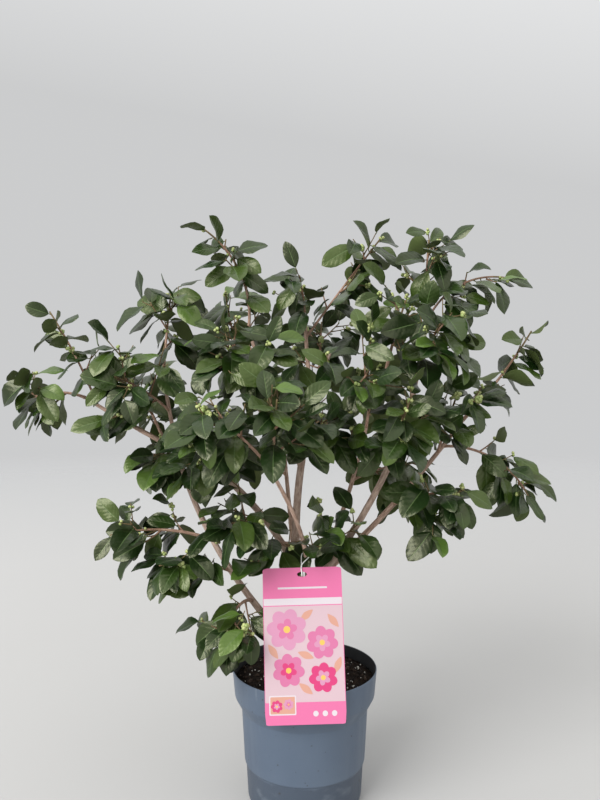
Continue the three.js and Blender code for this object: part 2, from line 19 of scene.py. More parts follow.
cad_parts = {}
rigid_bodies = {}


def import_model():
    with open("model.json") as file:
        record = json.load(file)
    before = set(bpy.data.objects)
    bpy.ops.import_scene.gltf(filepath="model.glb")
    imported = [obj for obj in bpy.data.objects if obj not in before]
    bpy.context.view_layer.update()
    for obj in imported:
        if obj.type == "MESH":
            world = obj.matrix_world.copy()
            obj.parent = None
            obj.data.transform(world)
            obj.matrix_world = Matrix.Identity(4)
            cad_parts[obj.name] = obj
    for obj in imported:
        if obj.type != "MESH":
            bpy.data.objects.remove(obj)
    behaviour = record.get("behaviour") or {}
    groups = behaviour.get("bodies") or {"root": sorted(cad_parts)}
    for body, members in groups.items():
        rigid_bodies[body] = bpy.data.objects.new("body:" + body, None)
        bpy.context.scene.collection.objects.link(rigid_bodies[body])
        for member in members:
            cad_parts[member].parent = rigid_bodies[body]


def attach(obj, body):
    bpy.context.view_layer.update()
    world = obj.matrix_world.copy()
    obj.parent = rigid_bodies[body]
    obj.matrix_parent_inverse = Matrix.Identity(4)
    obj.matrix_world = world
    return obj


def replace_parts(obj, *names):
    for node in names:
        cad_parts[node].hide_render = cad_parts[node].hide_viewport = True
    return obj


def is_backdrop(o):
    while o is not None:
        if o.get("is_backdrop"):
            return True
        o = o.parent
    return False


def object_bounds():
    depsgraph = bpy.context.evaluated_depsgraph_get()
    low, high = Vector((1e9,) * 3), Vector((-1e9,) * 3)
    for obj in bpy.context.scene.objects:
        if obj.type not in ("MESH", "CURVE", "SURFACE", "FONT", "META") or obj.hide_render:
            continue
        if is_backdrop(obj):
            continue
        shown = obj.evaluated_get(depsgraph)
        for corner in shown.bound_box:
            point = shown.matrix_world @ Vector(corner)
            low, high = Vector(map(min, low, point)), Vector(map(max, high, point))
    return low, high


Array = np.ndarray
Shell = tuple[Array, list[Array]]
Colour = tuple[float, float, float]
Place = tuple[float, float, float]
Shares = tuple[float, ...]
Socket = bpy.types.NodeSocket
Material = bpy.types.Material
LOG = logging.getLogger("camellia")
BODY = "root"
MM = 0.001
UP = np.array([0.0, 0.0, 1.0])
TURN = 2 * math.pi
SEED = 41
SPIRAL = 2.4
# The colour sockets of Blender's Mix node, by number
MIX_FIRST, MIX_SECOND, MIX_RESULT = 6, 7, 2


class Draws:
    """Numbers from 0 to 1 that repeat for the same seed, drawn as the part's source draws them."""

    mask: int = 0xFFFFFFFF
    stride: int = 0x6D2B79F5

    def __init__(self, seed: int) -> None:
        """Starts the run of numbers at a seed."""
        self.state = seed & self.mask

    def __call__(self) -> float:
        """Steps the state, and mixes it by shifts and products.

        Returns:
            The next number.
        """
        self.state = (self.state + self.stride) & self.mask
        state = self.state
        mixed = ((state ^ (state >> 15)) * (state | 1)) & self.mask
        mixed ^= (mixed + (mixed ^ (mixed >> 7)) * (mixed | 61)) & self.mask
        return (mixed ^ (mixed >> 14)) / (self.mask + 1)

    def between(self, low: float, high: float) -> float:
        """Returns the next number, spread from low to high."""
        return low + (high - low) * self()


def unit(vectors: Array) -> Array:
    """Returns vectors scaled to a length of 1."""
    return vectors / np.maximum(np.linalg.norm(vectors, axis=-1, keepdims=True), 1e-12)


def smoothstep(low: float, high: float, value: Array) -> Array:
    """Returns 0 below low and 1 above high, with a smooth rise between."""
    share = np.clip((value - low) / (high - low), 0.0, 1.0)
    return share * share * (3.0 - 2.0 * share)


def square_to(way: Array) -> Array:
    """Returns a direction square to another one."""
    guide = UP if abs(way[2]) < 0.9 else np.array([1.0, 0.0, 0.0])
    return unit(np.cross(guide, way))


def turned(vector: Array, axis: Array, angle: float) -> Array:
    """Returns a vector turned about a unit axis it is square to."""
    return vector * math.cos(angle) + np.cross(axis, vector) * math.sin(angle)


def gaps(points: Array, starts: Array, ends: Array) -> Array:
    """Shortest distances from points to straight pieces, by dropping each point on each piece.

    Args:
        points: m points.
        starts: the first ends of n pieces.
        ends: the other ends.

    Returns:
        An m by n array of distances.
    """
    run = ends - starts
    off = points[:, None] - starts[None]
    share = np.clip((off * run).sum(-1) / np.maximum((run * run).sum(-1), 1e-9), 0.0, 1.0)
    return np.linalg.norm(off - share[..., None] * run, axis=-1)


@dataclass
class Line:
    """A centreline: points, and the direction at each of them."""

    points: Array
    ways: Array

    @classmethod
    def grown(cls, start: Array, course: Course, steps: int) -> Line:
        """Grows a centreline whose lean and bearing change evenly from start to tip.

        Args:
            start: the first point.
            course: bearing, lean, their changes, and the length.
            steps: how many straight strides it has.

        Returns:
            The centreline.
        """
        ends = np.arange(steps + 1) / steps
        middles = (np.arange(steps) + 0.5) / steps
        strides = course.way(middles) * (course.length / steps)
        return cls(np.vstack([start, start + np.cumsum(strides, axis=0)]), course.way(ends))

    def at(self, share: float) -> tuple[Array, Array]:
        """Finds a place on the line.

        Args:
            share: a share of the length.

        Returns:
            The point and the direction there.
        """
        place = min(max(share, 0.0), 1.0) * (len(self.points) - 1)
        k = min(int(place), len(self.points) - 2)
        part = place - k
        point = self.points[k] * (1 - part) + self.points[k + 1] * part
        return point, unit(self.ways[k] * (1 - part) + self.ways[k + 1] * part)

    def smooth(self, count: int) -> Line:
        """The same line with no kinks: cubic pieces that follow the direction at each point.

        Args:
            count: how many points the result has.

        Returns:
            A finer line through the same points.
        """
        place = np.linspace(0.0, len(self.points) - 1, count)
        k = np.minimum(place.astype(int), len(self.points) - 2)
        t = (place - k)[:, None]
        first, last = self.points[k], self.points[k + 1]
        chord = np.linalg.norm(last - first, axis=1, keepdims=True)
        rise, settle = t * (1 - t) ** 2 * chord, -t * t * (1 - t) * chord
        blend = t * t * (3 - 2 * t)
        points = first * (1 - blend) + last * blend + rise * self.ways[k] + settle * self.ways[k + 1]
        return Line(points, unit(self.ways[k] * (1 - t) + self.ways[k + 1] * t))


@dataclass(frozen=True)
class Course:
    """How a limb or a stem grows: bearing and lean in degrees, their changes, and its length."""

    compass: float
    lean: float
    bow: float
    length: float
    turn: float = 0.0

    def way(self, share: Array) -> Array:
        """Directions from the bearing, 0 along +X and 90 along +Y, and from the lean off the vertical.

        Args:
            share: shares of the length.

        Returns:
            Unit vectors, with x, y and z last.
        """
        bearing = np.radians(self.compass + self.turn * share)
        lean = np.radians(self.lean + self.bow * share)
        out = np.sin(lean)
        return np.stack([out * np.cos(bearing), out * np.sin(bearing), np.cos(lean)], axis=-1)


@dataclass(frozen=True)
class Limb:
    """A limb: where it leaves its parent, how it grows, and its radius at foot and tip."""

    name: str
    parent: str
    at: float
    course: Course
    radius: float
    tip: float


@dataclass(frozen=True)
class Spray:
    """A spray of leaves: its limb, the place on it, the course of its stem, and how full it is."""

    name: str
    limb: str
    at: float
    course: Course
    full: float = 1.0

    @property
    def node(self) -> str:
        """The name of the solid that stands for this spray."""
        return f"{self.name}_leaves"


TRUNK = Limb("trunk", "", 0.0, Course(180, 0, 10, 106), 7.8, 6.2)
LIMBS = (
    Limb("mid_stem", "trunk", 1, Course(8, -5, 25, 325), 5.8, 3.7),
    Limb("left_stem", "trunk", 0.22, Course(188, 47, -29, 300), 5, 3.2),
    Limb("left_arm", "mid_stem", 0.1, Course(172, 27, 28, 182), 4.8, 4.2),
    Limb("left_bough", "left_arm", 1, Course(172, 66, -8, 196, 8), 4.1, 2.2),
    Limb("left_upper_bough", "left_stem", 1, Course(165, 16, -8, 128), 3.1, 2.1),
    Limb("right_stem", "trunk", 0.91, Course(352, 42, -24, 292), 5.2, 3.4),
    Limb("right_top_bough", "right_stem", 1, Course(20, 14, -6, 132), 3.3, 2.1),
    Limb("right_outer_stem", "right_stem", 0.14, Course(9, 50, -12, 290), 4.2, 2.6),
    Limb("right_inner_stem", "right_stem", 0.1, Course(42, 36, -12, 235, 12), 3.8, 2.4),
    Limb("mid_left_bough", "mid_stem", 0.52, Course(184, 26, -10, 196), 3.3, 2.1),
    Limb("mid_bough", "mid_stem", 0.76, Course(140, 9, -6, 118), 3.5, 2.2),
    Limb("mid_right_bough", "mid_stem", 0.66, Course(352, 64, -24, 132), 3.7, 2.4),
    Limb("front_bough", "trunk", 0.78, Course(296, 33, 0, 246, -90), 3.4, 2.1),
    Limb("back_bough", "mid_stem", 0.06, Course(100, 40, -12, 225), 3.8, 2.4),
)
SPRAYS = (
    Spray("left_tip", "left_bough", 1, Course(186, 66, 60, 84), 0.8),
    Spray("left_rise", "left_bough", 0.9, Course(174, 22, 12, 146), 0.4),
    Spray("left_under", "left_bough", 0.2, Course(240, 70, 40, 62), 0.7),
    Spray("left_over", "left_bough", 0.35, Course(150, 30, 4, 100)),
    Spray("left_top", "left_upper_bough", 1, Course(60, 6, 4, 108), 0.7),
    Spray("left_shoulder", "left_upper_bough", 0.6, Course(226, 50, 24, 92), 1.2),
    Spray("left_low", "left_stem", 0.66, Course(196, 66, 36, 132), 0.5),
    Spray("left_skirt", "left_stem", 0.5, Course(214, 64, 28, 104), 0.8),
    Spray("left_foot", "left_stem", 0.34, Course(246, 64, 80, 78), 1.1),
    Spray("left_front", "left_arm", 0.86, Course(258, 62, 10, 122)),
    Spray("left_inner", "left_arm", 0.42, Course(244, 70, 32, 104)),
    Spray("left_high_top", "mid_left_bough", 1, Course(196, -8, 66, 148), 0.45),
    Spray("left_high_front", "mid_left_bough", 0.62, Course(240, 58, 14, 108)),
    Spray("left_high_back", "mid_left_bough", 0.8, Course(128, 50, 12, 120)),
    Spray("mid_top", "mid_bough", 1, Course(120, 8, 4, 48)),
    Spray("mid_top_right", "mid_bough", 0.82, Course(5, 36, 2, 170), 0.55),
    Spray("mid_right", "mid_right_bough", 1, Course(330, 14, 6, 96)),
    Spray("mid_right_front", "mid_right_bough", 0.62, Course(272, 62, 20, 108), 1.2),
    Spray("trunk_front", "mid_stem", 0.6, Course(286, 60, 16, 104), 1.2),
    Spray("trunk_low", "mid_stem", 0.2, Course(238, 70, 24, 84)),
    Spray("right_crest", "right_top_bough", 1, Course(20, -2, 8, 96), 0.7),
    Spray("right_arch", "right_top_bough", 0.86, Course(8, 20, 84, 150), 0.4),
    Spray("right_top_front", "right_top_bough", 0.4, Course(276, 56, 10, 108)),
    Spray("right_rise", "right_outer_stem", 1, Course(8, 46, -14, 158), 0.3),
    Spray("right_out_front", "right_outer_stem", 0.8, Course(284, 34, 4, 98)),
    Spray("right_droop", "right_outer_stem", 0.84, Course(352, 86, 78, 156), 0.4),
    Spray("right_low", "right_outer_stem", 0.48, Course(316, 64, 22, 94)),
    Spray("right_foot", "right_stem", 0.26, Course(268, 34, 20, 66)),
    Spray("right_front", "right_stem", 0.82, Course(268, 58, 12, 122)),
    Spray("back_tip", "back_bough", 1, Course(96, 44, 20, 112)),
    Spray("back_left", "back_bough", 0.7, Course(150, 58, 18, 118)),
    Spray("back_right", "right_inner_stem", 1, Course(72, 36, 16, 118)),
    Spray("back_right_low", "right_inner_stem", 0.66, Course(30, 70, 20, 104)),
    Spray("back_crown", "mid_stem", 0.86, Course(86, 44, 0, 132)),
    Spray("left_back", "left_arm", 0.95, Course(112, 46, 14, 116)),
    Spray("front_tip", "front_bough", 1, Course(205, 40, 20, 100)),
    Spray("front_low", "front_bough", 0.94, Course(280, 20, 10, 96)),
)


class Side(Enum):
    """The parts of the crown whose leaves are joined into one piece each."""

    LEFT = "left"
    MIDDLE = "middle"
    RIGHT = "right"
    BACK = "back"

    @classmethod
    def of(cls, spray: Spray) -> Side:
        """Returns the part of the crown a spray belongs to, from the first word of its name."""
        words = {"left": cls.LEFT, "right": cls.RIGHT, "back": cls.BACK}
        return words.get(spray.name.split("_")[0], cls.MIDDLE)


class SlotName(Enum):
    """The record's material slots."""

    POT = "pot"
    SOIL = "soil"
    BARK = "bark"
    LEAF = "leaf"
    LABEL = "label"
    TIE = "tie"


class Surface:
    """Gathers grids of points with their faces into one mesh."""

    def __init__(self) -> None:
        """Starts with nothing gathered."""
        self.spots: list[Array] = []
        self.faces: list[list[list[int]]] = []
        self.slots: list[Array] = []
        self.creases: list[Array] = []
        self.marks: list[Array] = []
        self.count = 0

    def add(
        self, spots: Array, faces: list[Array], slots: list[Array | int],
        crease: Array | None = None, marks: Array | None = None,
    ) -> None:
        """Adds one closed shape, or many of them in one array.

        Args:
            spots: its points, in millimetres.
            faces: arrays of corner numbers, one array for each count of corners.
            slots: for each of those arrays, the material slot of its faces.
            crease: which points lie on a crease, where two smooth sides meet.
            marks: a vector at each point, which the material reads as the place of its pattern.
        """
        for corners, slot in zip(faces, slots):
            self.faces.append((corners + self.count).tolist())
            self.slots.append(np.broadcast_to(slot, len(corners)))
        self.spots.append(spots)
        self.creases.append(np.zeros(len(spots), bool) if crease is None else crease)
        self.marks.append(np.zeros((len(spots), 3)) if marks is None else marks)
        self.count += len(spots)

    def piece(self, name: str, materials: list[Material], slot: SlotName) -> bpy.types.Object:
        """Makes the gathered shapes one smooth mesh that rides on the plant's body.

        Args:
            name: the piece's name.
            materials: its materials, in the order of the slots.
            slot: the record's material slot of the piece; it is not used.

        Returns:
            The new object, at the origin.
        """
        mesh = bpy.data.meshes.new(name)
        faces = [face for group in self.faces for face in group]
        mesh.from_pydata((np.concatenate(self.spots) * MM).tolist(), [], faces)
        for material in materials:
            mesh.materials.append(material)
        mesh.polygons.foreach_set("material_index", np.concatenate(self.slots).astype(np.int32))
        mesh.polygons.foreach_set("use_smooth", np.ones(len(mesh.polygons), bool))
        crease = np.concatenate(self.creases)
        if crease.any():
            ends = np.empty(2 * len(mesh.edges), np.int32)
            mesh.edges.foreach_get("vertices", ends)
            sharp = mesh.attributes.new("sharp_edge", "BOOLEAN", "EDGE")
            sharp.data.foreach_set("value", crease[ends.reshape(-1, 2)].all(1))
        marks = np.concatenate(self.marks)
        if marks.any():
            place = mesh.attributes.new("pattern_place", "FLOAT_VECTOR", "POINT")
            place.data.foreach_set("vector", marks.astype(np.float32).ravel())
        mesh.update()
        made = bpy.data.objects.new(name, mesh)
        bpy.context.scene.collection.objects.link(made)
        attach(made, BODY)
        LOG.info("%s: %d points, %d faces", name, len(mesh.vertices), len(mesh.polygons))
        return made


def grid_faces(rows: int, columns: int, closed: bool) -> Array:
    """Quads of a grid of points numbered row by row.

    Args:
        rows: how many rows of points there are.
        columns: how many points a row has.
        closed: whether the last column joins the first.

    Returns:
        Four corner numbers for each quad.
    """
    row = np.arange(rows - 1)[:, None] * columns
    column = np.arange(columns if closed else columns - 1)[None]
    after = (column + 1) % columns
    quads = np.stack([row + column, row + after, row + columns + after, row + columns + column], axis=-1)
    return quads.reshape(-1, 4)


def cap_faces(ring: Array, pole: int) -> Array:
    """Returns triangles from a closed ring of point numbers to a pole."""
    return np.stack([ring, np.full(len(ring), pole), np.roll(ring, -1)], axis=-1)


def drum_faces(rings: int, sides: int, flip: bool = False) -> list[Array]:
    """Faces of a stack of closed rings, with a pole at each end numbered after the rings.

    Args:
        rings: how many rings there are.
        sides: points in a ring.
        flip: whether the faces turn the other way round.

    Returns:
        The quads between the rings, and the triangles at the two poles.
    """
    quads = grid_faces(rings, sides, True)
    first = np.arange(sides)
    last = first[::-1] + (rings - 1) * sides
    if flip:
        quads, first, last = quads[:, ::-1], first[::-1], last[::-1]
    return [quads, np.vstack([cap_faces(first, rings * sides), cap_faces(last, rings * sides + 1)])]


def copied(faces: list[Array], count: int, points: int) -> list[Array]:
    """Returns the faces of like shapes that follow one another, each with the same number of points."""
    step = (np.arange(count) * points)[:, None, None]
    return [(group + step).reshape(-1, group.shape[1]) for group in faces]


def round_angles(sides: int) -> Array:
    """Returns even angles once round."""
    return TURN * np.arange(sides) / sides


def spokes(angle: Array) -> Array:
    """Returns flat unit vectors at angles: a cosine and a sine."""
    return np.stack([np.cos(angle), np.sin(angle)], axis=-1)


def lathe(reach: Array, height: Array, sides: int) -> Array:
    """Returns rings round the upright axis: radius times cosine and sine of the angle, and height."""
    x, y = np.moveaxis(reach[:, None, None] * spokes(round_angles(sides)), -1, 0)
    return np.stack(np.broadcast_arrays(x, y, height[:, None]), axis=-1).reshape(-1, 3)


def on_axis(first: float, last: float) -> Array:
    """Returns two points on the upright axis, from their heights."""
    return np.array([[0.0, 0.0, first], [0.0, 0.0, last]])


def tube(line: Line, radius: Array, sides: int, guide: Array, dome: float = 0.0) -> Shell:
    """A round profile carried along a path, closed by a pole at each end.

    Each ring is the path's point plus the radius times the cosine and the sine of the angle along two
    directions square to the path; the first of them is the guide with its part along the path taken off.

    Args:
        line: the path.
        radius: one for each ring, or one for each point of each ring.
        sides: points in a ring.
        guide: a direction that is nowhere along the path.
        dome: how far the last pole stands out, as a share of the last radius.

    Returns:
        The points and the faces, quads and then triangles.
    """
    rings = len(line.points)
    wide = np.broadcast_to(radius.reshape(rings, -1), (rings, sides))[..., None]
    across = unit(guide - (line.ways @ guide)[:, None] * line.ways)[:, None]
    around = np.cross(line.ways[:, None], across)
    angle = round_angles(sides)[None, :, None]
    spots = line.points[:, None] + wide * (np.cos(angle) * across + np.sin(angle) * around)
    end = line.points[-1] + line.ways[-1] * dome * wide[-1].mean()
    return np.vstack([spots.reshape(-1, 3), line.points[:1], end[None]]), drum_faces(rings, sides)


def bark_place(sides: int, run: Array) -> Array:
    """Returns a tube's places in the bark's pattern: a cosine and a sine round it, and the run along it."""
    return np.vstack([lathe(np.ones(len(run)), run, sides), on_axis(run[0], run[-1])])


def feed(tree: bpy.types.NodeTree, socket: Socket, value: object) -> None:
    """Links a socket to another one, or sets its plain value, a colour being opaque.

    Args:
        tree: the nodes that both belong to.
        socket: the socket to feed.
        value: a socket, a number, a place or a colour.
    """
    if isinstance(value, Socket):
        tree.links.new(value, socket)
    else:
        socket.default_value = (*value, 1.0) if socket.type == "RGBA" else value


def node(tree: bpy.types.NodeTree, kind: str, output: str | int, inputs: dict, **settings: str) -> Socket:
    """Adds a node.

    Args:
        tree: the nodes it joins.
        kind: its type, without the first words that all types share.
        output: which of its outputs is wanted.
        inputs: what its inputs are fed with, by name or number.
        settings: its own choices, such as an operation.

    Returns:
        The output's socket.
    """
    made = tree.nodes.new(f"ShaderNode{kind}")
    for name, choice in settings.items():
        setattr(made, name, choice)
    for name, value in inputs.items():
        feed(tree, made.inputs[name], value)
    return made.outputs[output]


class Paint:
    """The nodes of one material, with a short call for each kind of node that the finishes use."""

    coat_roughness: float = 0.22

    def __init__(self, name: str, colour: Colour, roughness: float, coat: float = 0.0) -> None:
        """Starts a plain finish.

        Args:
            name: the material's name.
            colour: its base colour.
            roughness: how matt it is.
            coat: the weight of a clear coat.
        """
        self.material = bpy.data.materials.new(name)
        self.material.use_nodes = True
        self.material.diffuse_color = (*colour, 1.0)
        self.tree = self.material.node_tree
        self.shader = self.tree.nodes["Principled BSDF"]
        self.feed("Base Color", colour)
        self.feed("Roughness", roughness)
        self.feed("Coat Weight", coat)
        self.feed("Coat Roughness", self.coat_roughness)

    def feed(self, name: str, value: object) -> None:
        """Feeds one of the shader's inputs with a socket or a plain value."""
        feed(self.tree, self.shader.inputs[name], value)

    def place(self, stretch: Place = (1.0, 1.0, 1.0)) -> Socket:
        """Returns the object's own coordinates, stretched along each axis."""
        source = node(self.tree, "TexCoord", "Object", {})
        return node(self.tree, "Mapping", "Vector", {"Vector": source, "Scale": stretch})

    def mark(self) -> Socket:
        """Returns the place that the mesh keeps at each of its points."""
        return node(self.tree, "Attribute", "Vector", {}, attribute_name="pattern_place")

    def part(self, place: Socket, axis: str) -> Socket:
        """Returns one of a place's three numbers."""
        return node(self.tree, "SeparateXYZ", axis, {"Vector": place})

    def reckon(self, kind: str, *numbers: Socket | float) -> Socket:
        """Returns a number worked out from up to three others."""
        return node(self.tree, "Math", "Value", dict(enumerate(numbers)), operation=kind)

    def noise(self, place: Socket, scale: float, detail: float) -> Socket:
        """Returns soft noise of a scale at a place."""
        return node(self.tree, "TexNoise", "Fac", {"Vector": place, "Scale": scale, "Detail": detail})

    def spread(self, value: Socket, low: float, high: float, start: float = 0.0, end: float = 1.0) -> Socket:
        """Returns a value mapped from low and high onto start and end, and held there outside."""
        span = {"From Min": low, "From Max": high, "To Min": start, "To Max": end}
        return node(self.tree, "MapRange", "Result", {"Value": value, **span})

    def mix(self, share: Socket, first: Socket | Colour, second: Socket | Colour) -> Socket:
        """Returns a blend of two colours, each a plain colour or a socket."""
        inputs = {"Factor": share, MIX_FIRST: first, MIX_SECOND: second}
        return node(self.tree, "Mix", MIX_RESULT, inputs, data_type="RGBA")

    def bump(self, height: Socket, strength: float, depth: float) -> None:
        """Roughens the surface by a height, depth being its size in metres."""
        relief = {"Height": height, "Strength": strength, "Distance": depth}
        self.feed("Normal", node(self.tree, "Bump", "Normal", relief))


@dataclass(frozen=True)
class LeafFinish:
    """A leaf's skin: one plain colour, a soft gloss, and hollows between the side veins.

    The veins are crests of a sine of the place along the leaf, slanted forward by the place across it.
    """

    name: str
    colour: Colour
    roughness: float = 0.34
    coat: float = 0.2
    relief: float = 0.6
    sheen: Colour = (1.0, 1.0, 0.62)
    hollows: float = 130.0
    veins: float = 44.0
    slant: float = 11.0
    vein_height: float = 0.07
    depth: float = 0.0014

    def material(self) -> Material:
        """Raises the veins and the noise between them over one plain colour.

        Returns:
            The finish as a material.
        """
        paint = Paint(self.name, self.colour, self.roughness, self.coat)
        paint.feed("Specular Tint", self.sheen)
        across = paint.reckon("ABSOLUTE", paint.part(paint.mark(), "Y"))
        back = paint.reckon("MULTIPLY", across, -self.slant)
        slanted = paint.reckon("MULTIPLY_ADD", paint.part(paint.mark(), "X"), self.veins, back)
        crest = paint.reckon("SINE", slanted)
        hollow = paint.noise(paint.place(), self.hollows, 2.0)
        paint.bump(paint.reckon("MULTIPLY_ADD", crest, self.vein_height, hollow), self.relief, self.depth)
        return paint.material


@dataclass(frozen=True)
class PlainFinish:
    """An even finish with a fine grain: print, plastic cord, buds and grains of soil."""

    name: str
    colour: Colour
    roughness: float = 0.5
    grain: float = 900.0
    depth: float = 0.0002
    relief: float = 0.4

    def material(self) -> Material:
        """Lays a fine grain over one plain colour.

        Returns:
            The finish as a material.
        """
        paint = Paint(self.name, self.colour, self.roughness)
        paint.bump(paint.noise(paint.place(), self.grain, 2.0), self.relief, self.depth)
        return paint.material


@dataclass(frozen=True)
class BarkFinish:
    """Thin bark: two tones in streaks along the limb, pale flecks, and fine cracks."""

    name: str
    light: Colour
    dark: Colour
    fleck: Colour
    roughness: float = 0.8
    streak_scale: float = 1.4
    fleck_scale: float = 5.5
    fleck_weight: float = 0.7
    crack_scale: float = 3.2
    crack_depth: float = 0.0006

    def material(self) -> Material:
        """Blends the two tones in streaks, and lays flecks and cracks over them.

        Returns:
            The finish as a material.
        """
        paint = Paint(self.name, self.light, self.roughness)
        place = paint.mark()
        streaks = paint.noise(place, self.streak_scale, 5.0)
        flecks = paint.noise(place, self.fleck_scale, 2.0)
        tone = paint.mix(paint.spread(streaks, 0.38, 0.64), self.dark, self.light)
        tone = paint.mix(paint.spread(flecks, 0.62, 0.72, end=self.fleck_weight), tone, self.fleck)
        paint.feed("Base Color", tone)
        paint.bump(paint.noise(place, self.crack_scale, 6.0), 0.5, self.crack_depth)
        return paint.material


@dataclass(frozen=True)
class PotFinish:
    """Moulded matt plastic: faint clouds, pale scuffs, dark specks, and a damp, smudged band at the foot."""

    name: str
    body: Colour
    cloud: Colour
    scuff: Colour
    dust: Colour
    damp: Colour
    damp_height: float
    damp_edge: float = 0.004
    damp_waver: float = 0.006
    streak_scales: Place = (60.0, 60.0, 7.0)
    smudge_scales: Place = (34.0, 34.0, 60.0)
    speck_scale: float = 210.0
    grain: float = 420.0
    depth: float = 0.0004

    def material(self) -> Material:
        """Lays clouds, scuffs, the damp foot, its smudges and the specks over the body's colour.

        Returns:
            The finish as a material.
        """
        paint = Paint(self.name, self.body, 0.5)
        place = paint.place()
        clouds = paint.spread(paint.noise(place, 9.0, 4.0), 0.35, 0.7)
        tone = paint.mix(clouds, self.body, self.cloud)
        streaks = paint.noise(paint.place(self.streak_scales), 1.0, 4.0)
        tone = paint.mix(paint.spread(streaks, 0.66, 0.8, end=0.55), tone, self.scuff)
        waver = paint.noise(place, 30.0, 3.0)
        level = paint.reckon("MULTIPLY_ADD", waver, self.damp_waver, paint.part(place, "Z"))
        foot = paint.spread(level, self.damp_height, self.damp_height + self.damp_edge, 0.9, 0.0)
        tone = paint.mix(foot, tone, self.damp)
        smudges = paint.spread(paint.noise(paint.place(self.smudge_scales), 1.0, 5.0), 0.58, 0.78, end=0.34)
        tone = paint.mix(paint.reckon("MULTIPLY", smudges, foot), tone, self.scuff)
        specks = paint.noise(place, self.speck_scale, 1.0)
        tone = paint.mix(paint.spread(specks, 0.735, 0.77, end=0.75), tone, self.dust)
        paint.feed("Base Color", tone)
        paint.feed("Roughness", paint.spread(streaks, 0.3, 0.8, 0.4, 0.62))
        paint.bump(paint.noise(place, self.grain, 3.0), 0.25, self.depth)
        return paint.material


@dataclass(frozen=True)
class SoilFinish:
    """Moist compost: near black with browner crumbs, rough all over."""

    name: str
    damp: Colour
    crumb: Colour
    roughness: float = 0.95
    shine: float = 0.12
    crumb_scale: float = 160.0
    grain: float = 300.0
    depth: float = 0.0025

    def material(self) -> Material:
        """Blends the crumbs into the damp colour, and roughens both.

        Returns:
            The finish as a material.
        """
        paint = Paint(self.name, self.damp, self.roughness)
        paint.feed("Specular IOR Level", self.shine)
        place = paint.place()
        crumbs = paint.spread(paint.noise(place, self.crumb_scale, 5.0), 0.45, 0.68)
        paint.feed("Base Color", paint.mix(crumbs, self.damp, self.crumb))
        paint.bump(paint.noise(place, self.grain, 5.0), 0.9, self.depth)
        return paint.material


@dataclass(frozen=True)
class FloorFinish:
    """Pale matt paint that lightens and fades out with the distance, so no line shows far off."""

    name: str
    near: Colour
    far: Colour
    roughness: float = 0.9
    lighter: tuple[float, float] = (0.8, 5.0)
    fading: tuple[float, float] = (1.5, 6.0)
    grain: float = 40.0
    depth: float = 0.0003

    def material(self) -> Material:
        """Blends from the near colour to the far one, and fades out.

        Returns:
            The finish as a material.
        """
        paint = Paint(self.name, self.near, self.roughness)
        place = paint.place()
        reach = node(paint.tree, "VectorMath", "Value", {0: place}, operation="LENGTH")
        share = paint.spread(reach, *self.lighter)
        paint.feed("Base Color", paint.mix(share, self.near, self.far))
        paint.feed("Alpha", paint.spread(reach, *self.fading, 1.0, 0.0))
        paint.bump(paint.noise(place, self.grain, 2.0), 0.3, self.depth)
        return paint.material


class PotSlot(IntEnum):
    """The material slots of the pot: the outside, and the inside, near black from soil stains and painted
    shade.
    """

    OUTSIDE = 0
    INSIDE = 1


